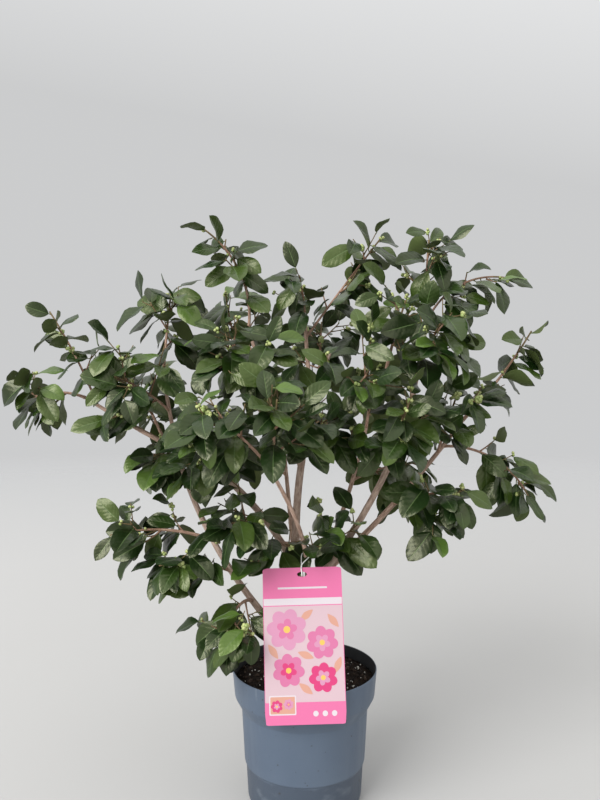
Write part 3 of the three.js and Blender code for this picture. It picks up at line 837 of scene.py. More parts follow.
@dataclass
class Pot:
    """The nursery pot: a turned wall with a collar, a step low down, a thin lip and drain holes.

    The wall's places are shares of the lip's radius and of the height.
    """

    radius: float = 95.0
    height: float = 167.5
    wall: float = 1.6
    base: float = 0.784
    corner: float = 0.03
    band: float = 0.81
    waist: float = 0.832
    step: float = 0.29
    shoulder: tuple[float, float] = (0.872, 0.7)
    collar: tuple[float, float] = (0.968, 0.8)
    lip: float = 1.2
    facets: int = 128
    round_off: float = 1.4
    drains: int = 6
    drain_radius: float = 5.5
    drain_ring: float = 52.0
    drain_sides: int = 24
    drain_turn: float = 0.1
    drill_reach: float = 6.0
    crease: float = 50.0

    @property
    def floor(self) -> float:
        """How high the inner side of the floor lies."""
        return 1.4 * self.wall

    def rows(self) -> Array:
        """The outer wall from the underside to the lip.

        Returns:
            Rows of a radius and a height.
        """
        base, corner, step = self.base * self.radius, self.corner * self.height, self.step * self.height
        return np.array([
            [base - 0.3 * corner, 0.3 * corner],
            [base, corner],
            [self.band * self.radius, step - 1],
            [self.waist * self.radius, step + 1],
            [self.shoulder[0] * self.radius, self.shoulder[1] * self.height],
            [self.collar[0] * self.radius, self.collar[1] * self.height],
            [self.radius, self.height - self.lip],
        ])

    def profile(self) -> tuple[Array, int]:
        """The wall's whole section, with each corner eased by a short curve.

        A corner is replaced by three points of the curve that starts and ends on its two sides, at most
        round_off from it, and is pulled to the corner.

        Returns:
            Rows of radius and height, and the row at which the inner side begins.
        """
        outer = self.rows()
        inner = outer[::-1] + [-self.wall, 0.5 * self.wall]
        inner[0] = [self.radius - self.wall, self.height - self.lip]
        inner[-1] = [outer[0, 0] - self.wall, self.floor]
        lip = [[self.radius - 0.3 * self.wall, self.height], [self.radius - 0.7 * self.wall, self.height]]
        foot = [outer[0, 0] - 0.7 * self.corner * self.height, 0.0]
        rows = np.vstack([[0.0, 0.0], foot, outer, lip, inner, [0.0, self.floor]])
        before, corner, after = rows[:-2], rows[1:-1], rows[2:]
        back = np.linalg.norm(before - corner, axis=1, keepdims=True)
        ahead = np.linalg.norm(after - corner, axis=1, keepdims=True)
        start = corner + (before - corner) * np.minimum(self.round_off / back, 0.4)
        end = corner + (after - corner) * np.minimum(self.round_off / ahead, 0.4)
        eased = np.stack([start, 0.25 * start + 0.5 * corner + 0.25 * end, end], axis=1)
        inside = 1 + 3 * (1 + len(outer) + 1)
        return np.vstack([rows[:1], eased.reshape(-1, 2), rows[-1:]]), inside

    def shell(self) -> tuple[Array, list[Array], Array]:
        """Turns the section about the upright axis.

        Returns:
            The points, the faces, and which of the quads lie on the inner side.
        """
        rows, inside = self.profile()
        spots = lathe(rows[1:-1, 0], rows[1:-1, 1], self.facets)
        spots = np.vstack([spots, on_axis(rows[0, 1], rows[-1, 1])])
        faces = drum_faces(len(rows) - 2, self.facets)
        return spots, faces, np.arange(len(faces[0])) // self.facets >= inside

    def bore(self, piece: bpy.types.Object) -> None:
        """Cuts the ring of drain holes through the floor of the pot.

        Args:
            piece: the pot's wall.
        """
        drill = Surface()
        start = np.array([math.cos(self.drain_turn), math.sin(self.drain_turn), 0.0])
        for k in range(self.drains):
            angle = TURN * (k + 0.5) / self.drains
            x, y = self.drain_ring * math.cos(angle), self.drain_ring * math.sin(angle)
            line = Line(np.array([[x, y, -self.drill_reach], [x, y, self.drill_reach]]), np.stack([UP, UP]))
            spots, faces = tube(line, np.full(2, self.drain_radius), self.drain_sides, start)
            drill.add(spots, faces, [PotSlot.INSIDE] * 2)
        cutter = drill.piece("drain_drill", list(piece.data.materials), SlotName.POT)
        cut = piece.modifiers.new("drains", "BOOLEAN")
        cut.operation, cut.object, cut.solver = "DIFFERENCE", cutter, "EXACT"
        scene = bpy.context.evaluated_depsgraph_get()
        piece.data = bpy.data.meshes.new_from_object(piece.evaluated_get(scene))
        piece.modifiers.clear()
        bpy.data.objects.remove(cutter)
        piece.data.set_sharp_from_angle(angle=math.radians(self.crease))

    def build(self) -> None:
        """Makes the pot in place of its solid, with a near-black inner side that is partly soil stains and
        partly painted shade.
        """
        spots, faces, inside = self.shell()
        outer = PotFinish(
            "pot_plastic",
            body=(0.074, 0.102, 0.146),
            cloud=(0.094, 0.126, 0.173),
            scuff=(0.24, 0.275, 0.315),
            dust=(0.04, 0.04, 0.04),
            damp=(0.048, 0.064, 0.09),
            damp_height=self.step * self.height * MM,
        )
        # The inner side's near-black colour is partly soil stains and partly painted shade of the pot's
        # shadowed inside.
        inner = PlainFinish("pot_inside", (0.016, 0.017, 0.019), 0.6)
        surface = Surface()
        slots = np.where(inside, PotSlot.INSIDE, PotSlot.OUTSIDE)
        surface.add(spots, faces, [slots, PotSlot.OUTSIDE])
        made = surface.piece("pot_wall", [outer.material(), inner.material()], SlotName.POT)
        self.bore(made)
        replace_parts(made, "pot")


@dataclass
class Soil:
    """The compost: it fills the pot, and its top is lumpy, with grains of perlite, bark and peat on it."""

    level: float = 156.0
    edge: float = 91.2
    wall_gap: float = 2.05
    floor_gap: float = 0.3
    lump: float = 1.3
    sag: float = 4.0
    rings: int = 30
    facets: int = 96
    grains: int = 420
    grain_margin: float = 4.0
    grain_sizes: tuple[float, float] = (0.8, 2.4)
    shapes: tuple[int, int] = (4, 6)

    def height(self, x: Array, y: Array) -> Array:
        """The top's height: three pairs of crossed waves, none near the trunk, and a sag at the edge.

        Args:
            x: places across.
            y: places from front to back.

        Returns:
            The height at each.
        """
        lumps = np.sin(0.31 * x + 1.1) * np.cos(0.27 * y) + 0.6 * np.sin(0.67 * x - 0.4 * y)
        lumps = lumps + 0.45 * np.sin(1.3 * y + 0.5) * np.cos(1.1 * x)
        reach = np.hypot(x, y)
        sag = self.sag * smoothstep(0.82, 1.0, reach / self.edge)
        return self.level + self.lump * lumps * smoothstep(18, 34, reach) - sag

    def body(self, pot: Pot) -> Shell:
        """The compost as a closed body: the inside of the pot's wall turned, under the lumpy top.

        Args:
            pot: the pot that it fills.

        Returns:
            The points and the faces.
        """
        wall = pot.rows()[:-1] + [-self.wall_gap, 0.5 * pot.wall]
        wall[0, 1] = pot.floor + self.floor_gap
        wall = np.vstack([wall, [self.edge, self.level - self.sag]])
        shares = np.linspace(1.0, 0.0, self.rings + 1)[1:-1]
        reach = np.concatenate([wall[:, 0], self.edge * shares])
        angle = round_angles(self.facets)
        x, y = reach[:, None] * np.cos(angle), reach[:, None] * np.sin(angle)
        z = self.height(x, y)
        z[: len(wall)] = wall[:, 1:]
        spots = np.stack([x, y, z], axis=-1).reshape(-1, 3)
        spots = np.vstack([spots, on_axis(wall[0, 1], self.level)])
        return spots, drum_faces(len(reach), self.facets)

    def scatter(self) -> tuple[Array, list[Array], Array]:
        """Grains half sunk in the top: balls with uneven radius, squashed and turned at random.

        Returns:
            The points of all grains, the faces, and the slot of each grain.
        """
        chance = np.random.default_rng(SEED)
        rows, sides = self.shapes
        tilt = np.pi * (np.arange(rows) + 1.0) / (rows + 1.0)
        ball = np.vstack([lathe(np.sin(tilt), np.cos(tilt), sides), on_axis(1.0, -1.0)])
        kind = chance.choice(3, self.grains, p=[0.34, 0.36, 0.3])
        size = chance.uniform(*self.grain_sizes, self.grains) * np.array([0.8, 1.5, 1.2])[kind]
        squash = chance.uniform(0.5, 1.0, (self.grains, 1, 3))
        lumps = ball * squash * chance.uniform(0.75, 1.2, (self.grains, len(ball), 1))
        turn = chance.uniform(0, TURN, self.grains)
        spin = np.stack([np.cos(turn), -np.sin(turn), np.sin(turn), np.cos(turn)], axis=-1).reshape(-1, 2, 2)
        lumps[..., :2] = np.einsum("nij,nkj->nki", spin, lumps[..., :2])
        reach = (self.edge - self.grain_margin) * np.sqrt(chance.uniform(0.04, 1.0, self.grains))
        bearing = chance.uniform(0, TURN, self.grains)
        x, y = reach * np.cos(bearing), reach * np.sin(bearing)
        middle = np.stack([x, y, self.height(x, y) + 0.15 * size], axis=-1)
        spots = middle[:, None] + size[:, None, None] * lumps
        faces = copied(drum_faces(rows, sides, flip=True), self.grains, len(ball))
        return spots.reshape(-1, 3), faces, kind

    def build(self, pot: Pot) -> None:
        """Makes the compost in place of its solid, and the grains on it.

        Args:
            pot: the pot that it fills.
        """
        finish = SoilFinish("compost", (0.009, 0.0055, 0.004), (0.030, 0.018, 0.011))
        surface = Surface()
        spots, faces = self.body(pot)
        surface.add(spots, faces, [0, 0])
        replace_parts(surface.piece("compost", [finish.material()], SlotName.SOIL), "soil")
        kinds = [
            PlainFinish("perlite", (0.55, 0.53, 0.48), 0.9),
            PlainFinish("bark_chip", (0.045, 0.026, 0.016), 0.85),
            PlainFinish("peat", (0.012, 0.008, 0.006), 0.95),
        ]
        spots, faces, kind = self.scatter()
        grains = Surface()
        grains.add(spots, faces, [np.repeat(kind, len(group) // self.grains) for group in faces])
        grains.piece("compost_grains", [finish.material() for finish in kinds], SlotName.SOIL)


class BarkSlot(IntEnum):
    """The material slots of the limbs: the bark of thick and of thin ones, and bare wood."""

    OLD = 0
    YOUNG = 1
    CUT = 2


@dataclass
class Limbs:
    """The trunk, stems and boughs: tapering tubes with a collar where each leaves its parent."""

    foot: float = 156.3
    flare: float = 5.5
    sides: int = 18
    ring_gap: float = 3.6
    collar: float = 0.55
    collar_fade: float = 2.2
    ridge: float = 0.035
    ridge_waves: int = 7
    ridge_crests: int = 6
    ridge_slant: float = 0.28
    scar: float = 0.075
    scar_gap: float = 24.0
    scar_width: float = 1.5
    old_radius: float = 4.3
    bark_stretch: float = 14.0
    bark_shift: float = 40.0
    lines: dict[str, Line] = field(default_factory=dict)

    def grow(self) -> None:
        """Grows every limb's centreline from its parent's."""
        self.lines["trunk"] = Line.grown(np.array([0.0, 0.0, self.foot]), TRUNK.course, 8)
        for limb in LIMBS:
            start, _ = self.lines[limb.parent].at(limb.at)
            self.lines[limb.name] = Line.grown(start, limb.course, 5)

    def radius_at(self, name: str, share: float) -> float:
        """Returns a limb's radius at a share of its length, without its bark's relief."""
        limb = next(limb for limb in (TRUNK, *LIMBS) if limb.name == name)
        return limb.radius + (limb.tip - limb.radius) * share

    def pieces(self) -> tuple[Array, Array, Array]:
        """Lists all the limbs' straight strides.

        Returns:
            Their starts, ends and radii.
        """
        limbs = (TRUNK, *LIMBS)
        lines = [self.lines[limb.name].points for limb in limbs]
        radii = [np.linspace(limb.radius, limb.tip, len(line))[:-1] for limb, line in zip(limbs, lines)]
        starts, ends = [line[:-1] for line in lines], [line[1:] for line in lines]
        return np.vstack(starts), np.vstack(ends), np.concatenate(radii)

    def ridges(self, turn: Array, run: Array, draws: Draws) -> Array:
        """Uneven relief: a sum of slanting sine waves of the turn and the run, each with its own phase.

        Args:
            turn: angles round a limb.
            run: distances along it.
            draws: where crests, slants and phases come from.

        Returns:
            Heights of about -1 to 1.
        """
        total = np.zeros(np.broadcast(turn, run).shape)
        for _ in range(self.ridge_waves):
            crests = 1 + int(draws() * self.ridge_crests)
            pace = draws.between(-self.ridge_slant, self.ridge_slant)
            total = total + np.sin(crests * turn + pace * run + TURN * draws())
        return total / math.sqrt(self.ridge_waves)

    def bark(self, limb: Limb) -> tuple[Array, list[Array], Array]:
        """One limb with its bark's relief.

        The radius tapers evenly. A collar that fades over two radii widens its foot, and the trunk has a
        root flare. Shallow ridges run along it, and low rings mark where old leaves stood.

        Args:
            limb: the limb.

        Returns:
            Its points and faces, and the place of each point in the bark's pattern.
        """
        draws = Draws(SEED + 7 * sum(map(ord, limb.name)))
        length = limb.course.length
        rings = int(length / self.ring_gap) + 2
        line = self.lines[limb.name].smooth(rings)
        share = np.linspace(0, 1, rings)[:, None]
        run = share * length
        turn = round_angles(self.sides)[None]
        radius = limb.radius + (limb.tip - limb.radius) * share
        if limb is TRUNK:
            lobes = 1 + 0.28 * np.sin(3 * turn + 0.7) + 0.16 * np.sin(5 * turn)
            radius = radius + self.flare * np.exp(-10 * share) * lobes
        else:
            radius = radius * (1 + self.collar * np.exp(-run / (self.collar_fade * limb.radius)))
        off_scar = (run + 7 * draws()) % self.scar_gap - 0.5 * self.scar_gap
        scar = self.scar * np.exp(-((off_scar / self.scar_width) ** 2))
        ridges = self.ridges(turn, run, draws)
        radius = radius * (1 + self.ridge * ridges + scar * (0.6 + 0.4 * np.sin(turn + 0.4 * run)))
        spots, faces = tube(line, radius, self.sides, square_to(line.ways[rings // 2]), 0.15)
        shifted = run / self.bark_stretch + self.bark_shift * draws()
        return spots, faces, bark_place(self.sides, shifted[:, 0])

    def build(self) -> None:
        """Makes the bark in place of the limbs' solids, and the pale face of the pruned stem."""
        old = BarkFinish("old_bark", (0.55, 0.41, 0.33), (0.33, 0.225, 0.175), (0.62, 0.54, 0.47))
        young = BarkFinish("young_bark", (0.52, 0.36, 0.28), (0.30, 0.19, 0.14), (0.58, 0.46, 0.38))
        cut = PlainFinish("cut_wood", (0.46, 0.36, 0.25), 0.85)
        materials = [old.material(), young.material(), cut.material()]
        trunk, boughs = Surface(), Surface()
        for limb in (TRUNK, *LIMBS):
            spots, faces, place = self.bark(limb)
            skin = BarkSlot.OLD if limb.radius > self.old_radius else BarkSlot.YOUNG
            caps = np.full(len(faces[1]), skin)
            if limb.name == "mid_stem":
                caps[self.sides:] = BarkSlot.CUT
            target = trunk if limb is TRUNK else boughs
            target.add(spots, faces, [skin, caps], marks=place)
        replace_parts(trunk.piece("trunk_bark", materials, SlotName.BARK), "trunk")
        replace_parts(boughs.piece("bough_bark", materials, SlotName.BARK), *(limb.name for limb in LIMBS))


@dataclass
class LeafSeats:
    """Many leaves as arrays: where each is rooted, how it lies, its size, and how it is bent."""

    point: Array
    axis: Array
    face: Array
    length: Array
    width: Array
    curl: Array
    fold: Array
    wave: Array
    sway: Array

    @classmethod
    def joined(cls, seats: list[LeafSeats]) -> LeafSeats:
        """Returns several sets of leaves as one."""
        names = cls.__dataclass_fields__
        return cls(*(np.concatenate([getattr(seat, name) for seat in seats]) for name in names))


class LeafSlot(IntEnum):
    """The material slots of a leaf piece: the tints of the upper side, the rib, the underside, the stalk."""

    DEEP = 0
    MID = 1
    WARM = 2
    COOL = 3
    YOUNG = 4
    RIB = 5
    UNDER = 6
    STALK = 7


@dataclass
class LeafForm:
    """The form of a leaf: a pointed oval, folded along its rib, and curled down to the tip."""

    shares: Shares = (0.045, 0.15, 0.28, 0.42, 0.56, 0.7, 0.825, 0.925)
    stalk: float = 0.1
    thick: float = 0.5
    widest: float = 0.45
    base_power: float = 0.85
    tip_power: float = 0.64
    pinch: float = 0.14
    recurve: float = 0.22
    claw: float = 0.2
    claw_start: float = 0.65
    ruffle: float = 0.16
    ruffle_pace: float = 8.0
    inset: float = 0.55
    tuck: float = 0.2
    sides: int = 3
    stalk_runs: Shares = (-0.02, 0.9, 1.6)
    stalk_drops: Shares = (0.0, 0.35, 0.75)
    stalk_radii: Shares = (0.9, 0.7, 0.35)

    @property
    def rows(self) -> int:
        """How many rows of points cross the blade."""
        return len(self.shares)

    def half(self, run: Array) -> Array:
        """Half the width as a share of its greatest: a round base, a full middle and a short point.

        It rises as a quarter of a sine to the widest place. Beyond it, it falls as a power of one less the
        square of the share that is passed, and it is pinched a little before the tip.

        Args:
            run: shares along the blade.

        Returns:
            The half width at each.
        """
        rise = np.sin(0.5 * np.pi * np.clip(run / self.widest, 0, 1) ** self.base_power)
        beyond = np.clip((run - self.widest) / (1 - self.widest), 0, 1)
        return rise * (1 - beyond**2) ** self.tip_power * (1 - self.pinch * smoothstep(0.78, 0.95, run))

    def surface(self, seats: LeafSeats, run: Array, side: Array, drop: float = 0.0) -> Array:
        """Points on leaves, from how far along and how far across they are.

        The rib is an arc that bends down from the leaf's face as it runs, and more so in its last third. A
        point stands across from it by half the width there. It is lifted by the fold, let down at the edge
        by a part of the fourth power of its place across, and moved by a wave along the edge.

        Args:
            seats: the leaves.
            run: a grid of shares along the blade.
            side: a grid of places across it, from -1 to 1.
            drop: how far below the upper side the points lie.

        Returns:
            An array of leaves by rows by columns of points.
        """
        size = (-1, 1, 1, 1)
        axis, face = seats.axis[:, None, None], seats.face[:, None, None]
        across = np.cross(axis, face)
        length, width = seats.length.reshape(size), seats.width.reshape(size)
        curl, fold = seats.curl.reshape(size), seats.fold.reshape(size)
        wave, sway = seats.wave.reshape(size), seats.sway.reshape(size)
        u, v = run[None, ..., None], side[None, ..., None]
        blade = (1 - self.stalk) * length
        bend = curl * u
        ahead = self.stalk * length + blade * np.sin(bend) / curl
        down = blade * (1 - np.cos(bend)) / curl
        half = 0.5 * width * self.half(u)
        out = half * v
        lift = fold * np.abs(out) - self.recurve * half * v**4
        lift = lift + self.ruffle * half * v * v * np.sin(self.ruffle_pace * u + wave) * np.sign(v)
        lift = lift - self.claw * curl * blade * np.clip(u - self.claw_start, 0, 1) ** 2
        normal = face * np.cos(bend) + axis * np.sin(bend)
        rib = seats.point[:, None, None] + axis * ahead - face * down + across * sway * blade * u * u
        return rib + across * out + normal * (lift - drop)

    def grids(self) -> tuple[Array, Array]:
        """The grid of the upper side, with two columns close to the rib.

        Returns:
            The shares along and the places across of its points.
        """
        run = np.array(self.shares)
        rib = 0.05 - 0.03 * run
        full = np.ones(self.rows)
        side = np.stack([-full, -self.inset * full, -rib, rib, self.inset * full, full], axis=1)
        return np.repeat(run[:, None], side.shape[1], axis=1), side

    def blade_faces(self, columns: int) -> tuple[Array, Array, Array]:
        """The faces of one blade, whose points are the upper rows, the lower rib, the base and the tip.

        Args:
            columns: points in a row of the upper side.

        Returns:
            The quads of the upper side, the quads of the lower side, and the triangles at base and tip.
        """
        row = np.arange(self.rows)
        left, right, middle = row * columns, row * columns + columns - 1, self.rows * columns + row
        under = np.vstack([
            np.stack([left[:-1], left[1:], middle[1:], middle[:-1]], axis=1),
            np.stack([middle[:-1], middle[1:], right[1:], right[:-1]], axis=1),
        ])
        base = self.rows * (columns + 1)
        first = np.append(np.arange(columns), middle[0])
        last = np.append(np.arange(columns) + (self.rows - 1) * columns, middle[-1])
        fan = np.vstack([cap_faces(first, base), cap_faces(last[::-1], base + 1)])
        return grid_faces(self.rows, columns, False), under, fan

    def blades(self, seats: LeafSeats, tint: Array) -> tuple[Array, list[Array], list[Array], Array, Array]:
        """All the blades as closed shells: an upper side of five strips and a lower side of two.

        Args:
            seats: the leaves.
            tint: the slot of each leaf's upper side.

        Returns:
            The points, the faces, their slots, which points lie on an edge, and each point's place on its
            leaf: along, across, and the leaf's number.
        """
        run, side = self.grids()
        count, columns = len(seats.length), side.shape[1]
        upper = self.surface(seats, run, side).reshape(count, -1, 3)
        lower = self.surface(seats, run[:, :1], np.zeros((self.rows, 1)), self.thick).reshape(count, -1, 3)
        ends = self.surface(seats, np.array([[0.0], [1.0]]), np.zeros((2, 1)), self.tuck)
        spots = np.concatenate([upper, lower, ends.reshape(count, -1, 3)], axis=1)
        top, under, fan = self.blade_faces(columns)
        faces = copied([np.vstack([top, under]), fan], count, spots.shape[1])
        strips = np.tile(np.array([0, 0, 1, 0, 0]), self.rows - 1)
        top_slots = np.where(strips[None] == 1, LeafSlot.RIB, tint[:, None])
        under_slots = np.full((count, len(under)), LeafSlot.UNDER)
        slots = [np.concatenate([top_slots, under_slots], axis=1).ravel(), np.repeat(tint, len(fan))]
        edge = np.concatenate([np.abs(side.ravel()) == 1, np.zeros(self.rows, bool), np.ones(2, bool)])
        along = np.concatenate([run.ravel(), run[:, 0], [0.0, 1.0]])
        off = np.concatenate([side.ravel(), np.zeros(self.rows + 2)])
        number = np.repeat(np.arange(count), len(along))
        place = np.stack([np.tile(along, count), np.tile(off, count), number], axis=-1)
        return spots.reshape(-1, 3), faces, slots, np.tile(edge, count), place

    def stalks(self, seats: LeafSeats) -> Shell:
        """All the stalks: slim tubes from the twig to a little way up the rib, on its lower side.

        Args:
            seats: the leaves.

        Returns:
            The points and the faces.
        """
        count = len(seats.length)
        across = np.cross(seats.axis, seats.face)
        ahead = seats.length[:, None] * (np.array(self.stalk_runs) * self.stalk)
        middle = seats.point[:, None] + seats.axis[:, None] * ahead[..., None]
        middle = middle - seats.face[:, None] * np.array(self.stalk_drops)[None, :, None]
        wide = np.array(self.stalk_radii)[None, :, None, None]
        angle = round_angles(self.sides)[:, None]
        ring = np.cos(angle) * across[:, None, None] + np.sin(angle) * seats.face[:, None, None]
        spots = (middle[:, :, None] + wide * ring).reshape(count, -1, 3)
        spots = np.concatenate([spots, middle[:, [0, -1]]], axis=1)
        faces = copied(drum_faces(len(self.stalk_radii), self.sides, flip=True), count, spots.shape[1])
        return spots.reshape(-1, 3), faces


LeafPlace = tuple[float, float, list[float]]


class Rank(IntEnum):
    """How far a shoot is from the limbs."""

    STEM = 0
    TWIG = 1
    SIDE_TWIG = 2


@dataclass
class Shoot:
    """A stem, twig or side twig of a spray, with its leaves' places and its cluster of buds."""

    spray: int
    line: Line
    length: float
    base: float
    tip: float
    bare: float
    rank: Rank
    places: list[LeafPlace] = field(default_factory=list)
    flower: float = 0.0


@dataclass
class Room:
    """The space that is free for twigs and leaves."""

    limb_starts: Array
    limb_ends: Array
    limb_radii: Array
    stems: Array
    low: Array
    high: Array
    pot: Pot
    label: Label
    reach: float = 88.0
    shared: float = 14.0
    margin: float = 6.0
    lip_gap: float = 3.0
    lip_rise: float = 2.0

    def own(self, points: Array, spray: int) -> bool:
        """Whether points lie near a spray's own stem, and not well nearer to another spray's stem.

        Args:
            points: the points.
            spray: the spray's number.

        Returns:
            Whether all of them do.
        """
        count, strides = self.stems.shape[:2]
        starts, ends = self.stems[:, :-1].reshape(-1, 3), self.stems[:, 1:].reshape(-1, 3)
        near = gaps(points, starts, ends).reshape(len(points), count, strides - 1).min(2)
        mine = near[:, spray]
        others = np.delete(near, spray, axis=1).min(1)
        return bool((mine < self.reach).all() and (others > mine - self.shared).all())

    def clear(self, points: Array, room: float) -> bool:
        """Whether points keep clear of limbs, pot and label, and within the plant's whole reach.

        Args:
            points: the points.
            room: how far they keep from the bark.

        Returns:
            Whether all of them do.
        """
        inside = (points > self.low - self.margin).all() and (points < self.high + self.margin).all()
        limbs = gaps(points, self.limb_starts, self.limb_ends) - self.limb_radii
        over = np.hypot(points[:, 0], points[:, 1]) < self.pot.radius + self.lip_gap
        sunk = over & (points[:, 2] < self.pot.height + self.lip_rise)
        return bool(inside and limbs.min() > room and not sunk.any() and not self.label.hidden(points).any())


@dataclass
class Crowd:
    """The leaves that are set so far, as coarse sheets, and the shoots that a new leaf has to miss."""

    starts: Array
    ends: Array
    form: LeafForm
    rows: int = 6
    across: Shares = (-1.0, 0.0, 1.0)
    shoot_gap: float = 1.6
    near: float = 62.0
    centres: list[Array] = field(default_factory=list)
    trees: list[BVHTree] = field(default_factory=list)

    def sheet(self, seat: LeafSeats) -> Array:
        """Returns three points across a leaf at each of a few rows along it."""
        side, run = np.meshgrid(self.across, np.linspace(0.04, 1.0, self.rows))
        return self.form.surface(seat, run, side).reshape(-1, 3)

    def takes(self, points: Array) -> bool:
        """Adds a leaf, unless it strikes a shoot beyond its first rows or another leaf.

        Args:
            points: the leaf's sheet.

        Returns:
            Whether it was added.
        """
        columns = len(self.across)
        if gaps(points[2 * columns:], self.starts, self.ends).min() < self.shoot_gap:
            return False
        middle = points.mean(0)
        apart = np.linalg.norm(np.reshape(self.centres, (-1, 3)) - middle, axis=1)
        tree = BVHTree.FromPolygons(points.tolist(), grid_faces(self.rows, columns, False).tolist())
        if any(tree.overlap(self.trees[k]) for k in np.flatnonzero(apart < self.near)):
            return False
        self.centres.append(middle)
        self.trees.append(tree)
        return True


@dataclass
class Crown:
    """The sprays: shoots grown by rule, and leaves set on them where there is room."""

    leaf_length: float = 51.0
    leaf_width: float = 0.52
    leaf_spacing: float = 9.6
    twig_length: float = 62.0
    twig_spacing: float = 23.0
    stem_radius: float = 2.5
    stem_tip: float = 1.1
    stem_bare: float = 0.3
    end_fit: float = 0.98
    side_fit: float = 0.72
    twig_radius: float = 1.15
    twig_tip: float = 0.75
    twig_bare: float = 0.34
    side_radius: float = 0.85
    side_tip: float = 0.6
    side_bare: float = 0.4
    twig_room: float = 2.0
    leaf_room: float = 1.2
    lit_back: float = 90.0
    face_chance: float = 0.9
    face_up: float = 0.56
    face_out: float = 0.62
    sideways: float = 0.2
    young_place: float = 0.8
    young_chance: float = 0.85
    flower_share: float = 0.25
    side_flower_share: float = 0.3
    axil_share: float = 0.2
    axil_buds: int = 3
    tip_buds: int = 5
    bud_radius: float = 2.55
    stem_grid: tuple[int, int] = (9, 22)
    twig_grid: tuple[int, int] = (6, 8)
    knuckle: float = 0.5
    knuckle_fade: float = 3.0
    bark_stretch: float = 9.0
    bark_shift: float = 3.7
    twists: Shares = (0.0, 0.8, -0.8, 1.6, -1.6)
    shoots: list[Shoot] = field(default_factory=list)
    leaves: list[LeafSeats] = field(default_factory=list)
    owners: list[tuple[int, bool]] = field(default_factory=list)

    def grow_spray(self, spray: int, stem: Line, draws: Draws) -> list[Shoot]:
        """Grows one spray by the source's rule: twigs in a spiral up the stem, then places for leaves.

        Args:
            spray: the spray's number.
            stem: its stem's centreline.
            draws: the spray's own run of numbers.

        Returns:
            The stem and its twigs.
        """
        length, full = SPRAYS[spray].course.length, SPRAYS[spray].full
        shoots = [Shoot(spray, stem, length, self.stem_radius, self.stem_tip, self.stem_bare, Rank.STEM)]
        count = max(1, math.floor(full * length / self.twig_spacing + 0.5))
        spin = TURN * draws()
        for i in range(count):
            share = 0.2 + 0.66 * (i + 0.5) / count
            point, way = stem.at(share)
            side = turned(square_to(way), way, spin + SPIRAL * i)
            splay = math.radians(46 + 18 * draws())
            course = unit(way * math.cos(splay) + side * math.sin(splay) + 0.12 * UP)
            reach = self.twig_length * full * (1.3 - share) * (0.8 + 0.4 * draws())
            line, widths = self.swept(point, course, reach), (self.twig_radius, self.twig_tip)
            shoots.append(Shoot(spray, line, reach, *widths, self.twig_bare, Rank.TWIG))
        for shoot in shoots:
            self.seat_leaves(shoot, draws)
            if draws() < self.flower_share:
                shoot.flower = self.bud_radius * (0.8 + 0.4 * draws())
        return shoots

    def swept(self, point: Array, course: Array, reach: float) -> Line:
        """A twig's centreline: straight along its course, and bent up by a part of the square of its run.

        Args:
            point: where it starts.
            course: its first direction.
            reach: its length.

        Returns:
            The centreline.
        """
        share = np.linspace(0, 1, 5)[:, None]
        points = point + course * reach * share + UP * 0.1 * reach * share**2
        return Line(points, unit(course + UP * 0.2 * share))

    def seat_leaves(self, shoot: Shoot, draws: Draws) -> None:
        """Sets places for leaves in a spiral along a shoot.

        Args:
            shoot: the shoot.
            draws: its spray's run of numbers.
        """
        leaves = max(2, math.floor(shoot.length * (1 - shoot.bare) / self.leaf_spacing + 0.5))
        turn = TURN * draws()
        for i in range(leaves):
            share = shoot.bare + (0.97 - shoot.bare) * (i + 0.4 * draws()) / (leaves - 0.6)
            shoot.places.append((share, turn + SPIRAL * i, [draws() for _ in range(8)]))

    def side_twigs(self, shoots: list[Shoot], draws: Draws) -> list[Shoot]:
        """Carries the rule on to finer twigs, two on each shoot, and on fewer shoots of a thin spray.

        Args:
            shoots: the stem and its twigs.
            draws: a run of numbers of their own.

        Returns:
            The finer twigs.
        """
        made = []
        for shoot in shoots:
            if draws() > SPRAYS[shoot.spray].full + 0.2:
                continue
            for share in (draws.between(0.35, 0.6), draws.between(0.68, 0.9)):
                point, way = shoot.line.at(share)
                side = turned(square_to(way), way, TURN * draws())
                splay = math.radians(draws.between(40, 62))
                course = unit(way * math.cos(splay) + side * math.sin(splay) + 0.15 * UP)
                reach = draws.between(20, 34) * (1.2 - 0.6 * share)
                line, widths = self.swept(point, course, reach), (self.side_radius, self.side_tip)
                twig = Shoot(shoot.spray, line, reach, *widths, self.side_bare, Rank.SIDE_TWIG)
                self.seat_leaves(twig, draws)
                if draws() < self.side_flower_share:
                    twig.flower = self.bud_radius * draws.between(0.75, 1.1)
                made.append(twig)
        return made

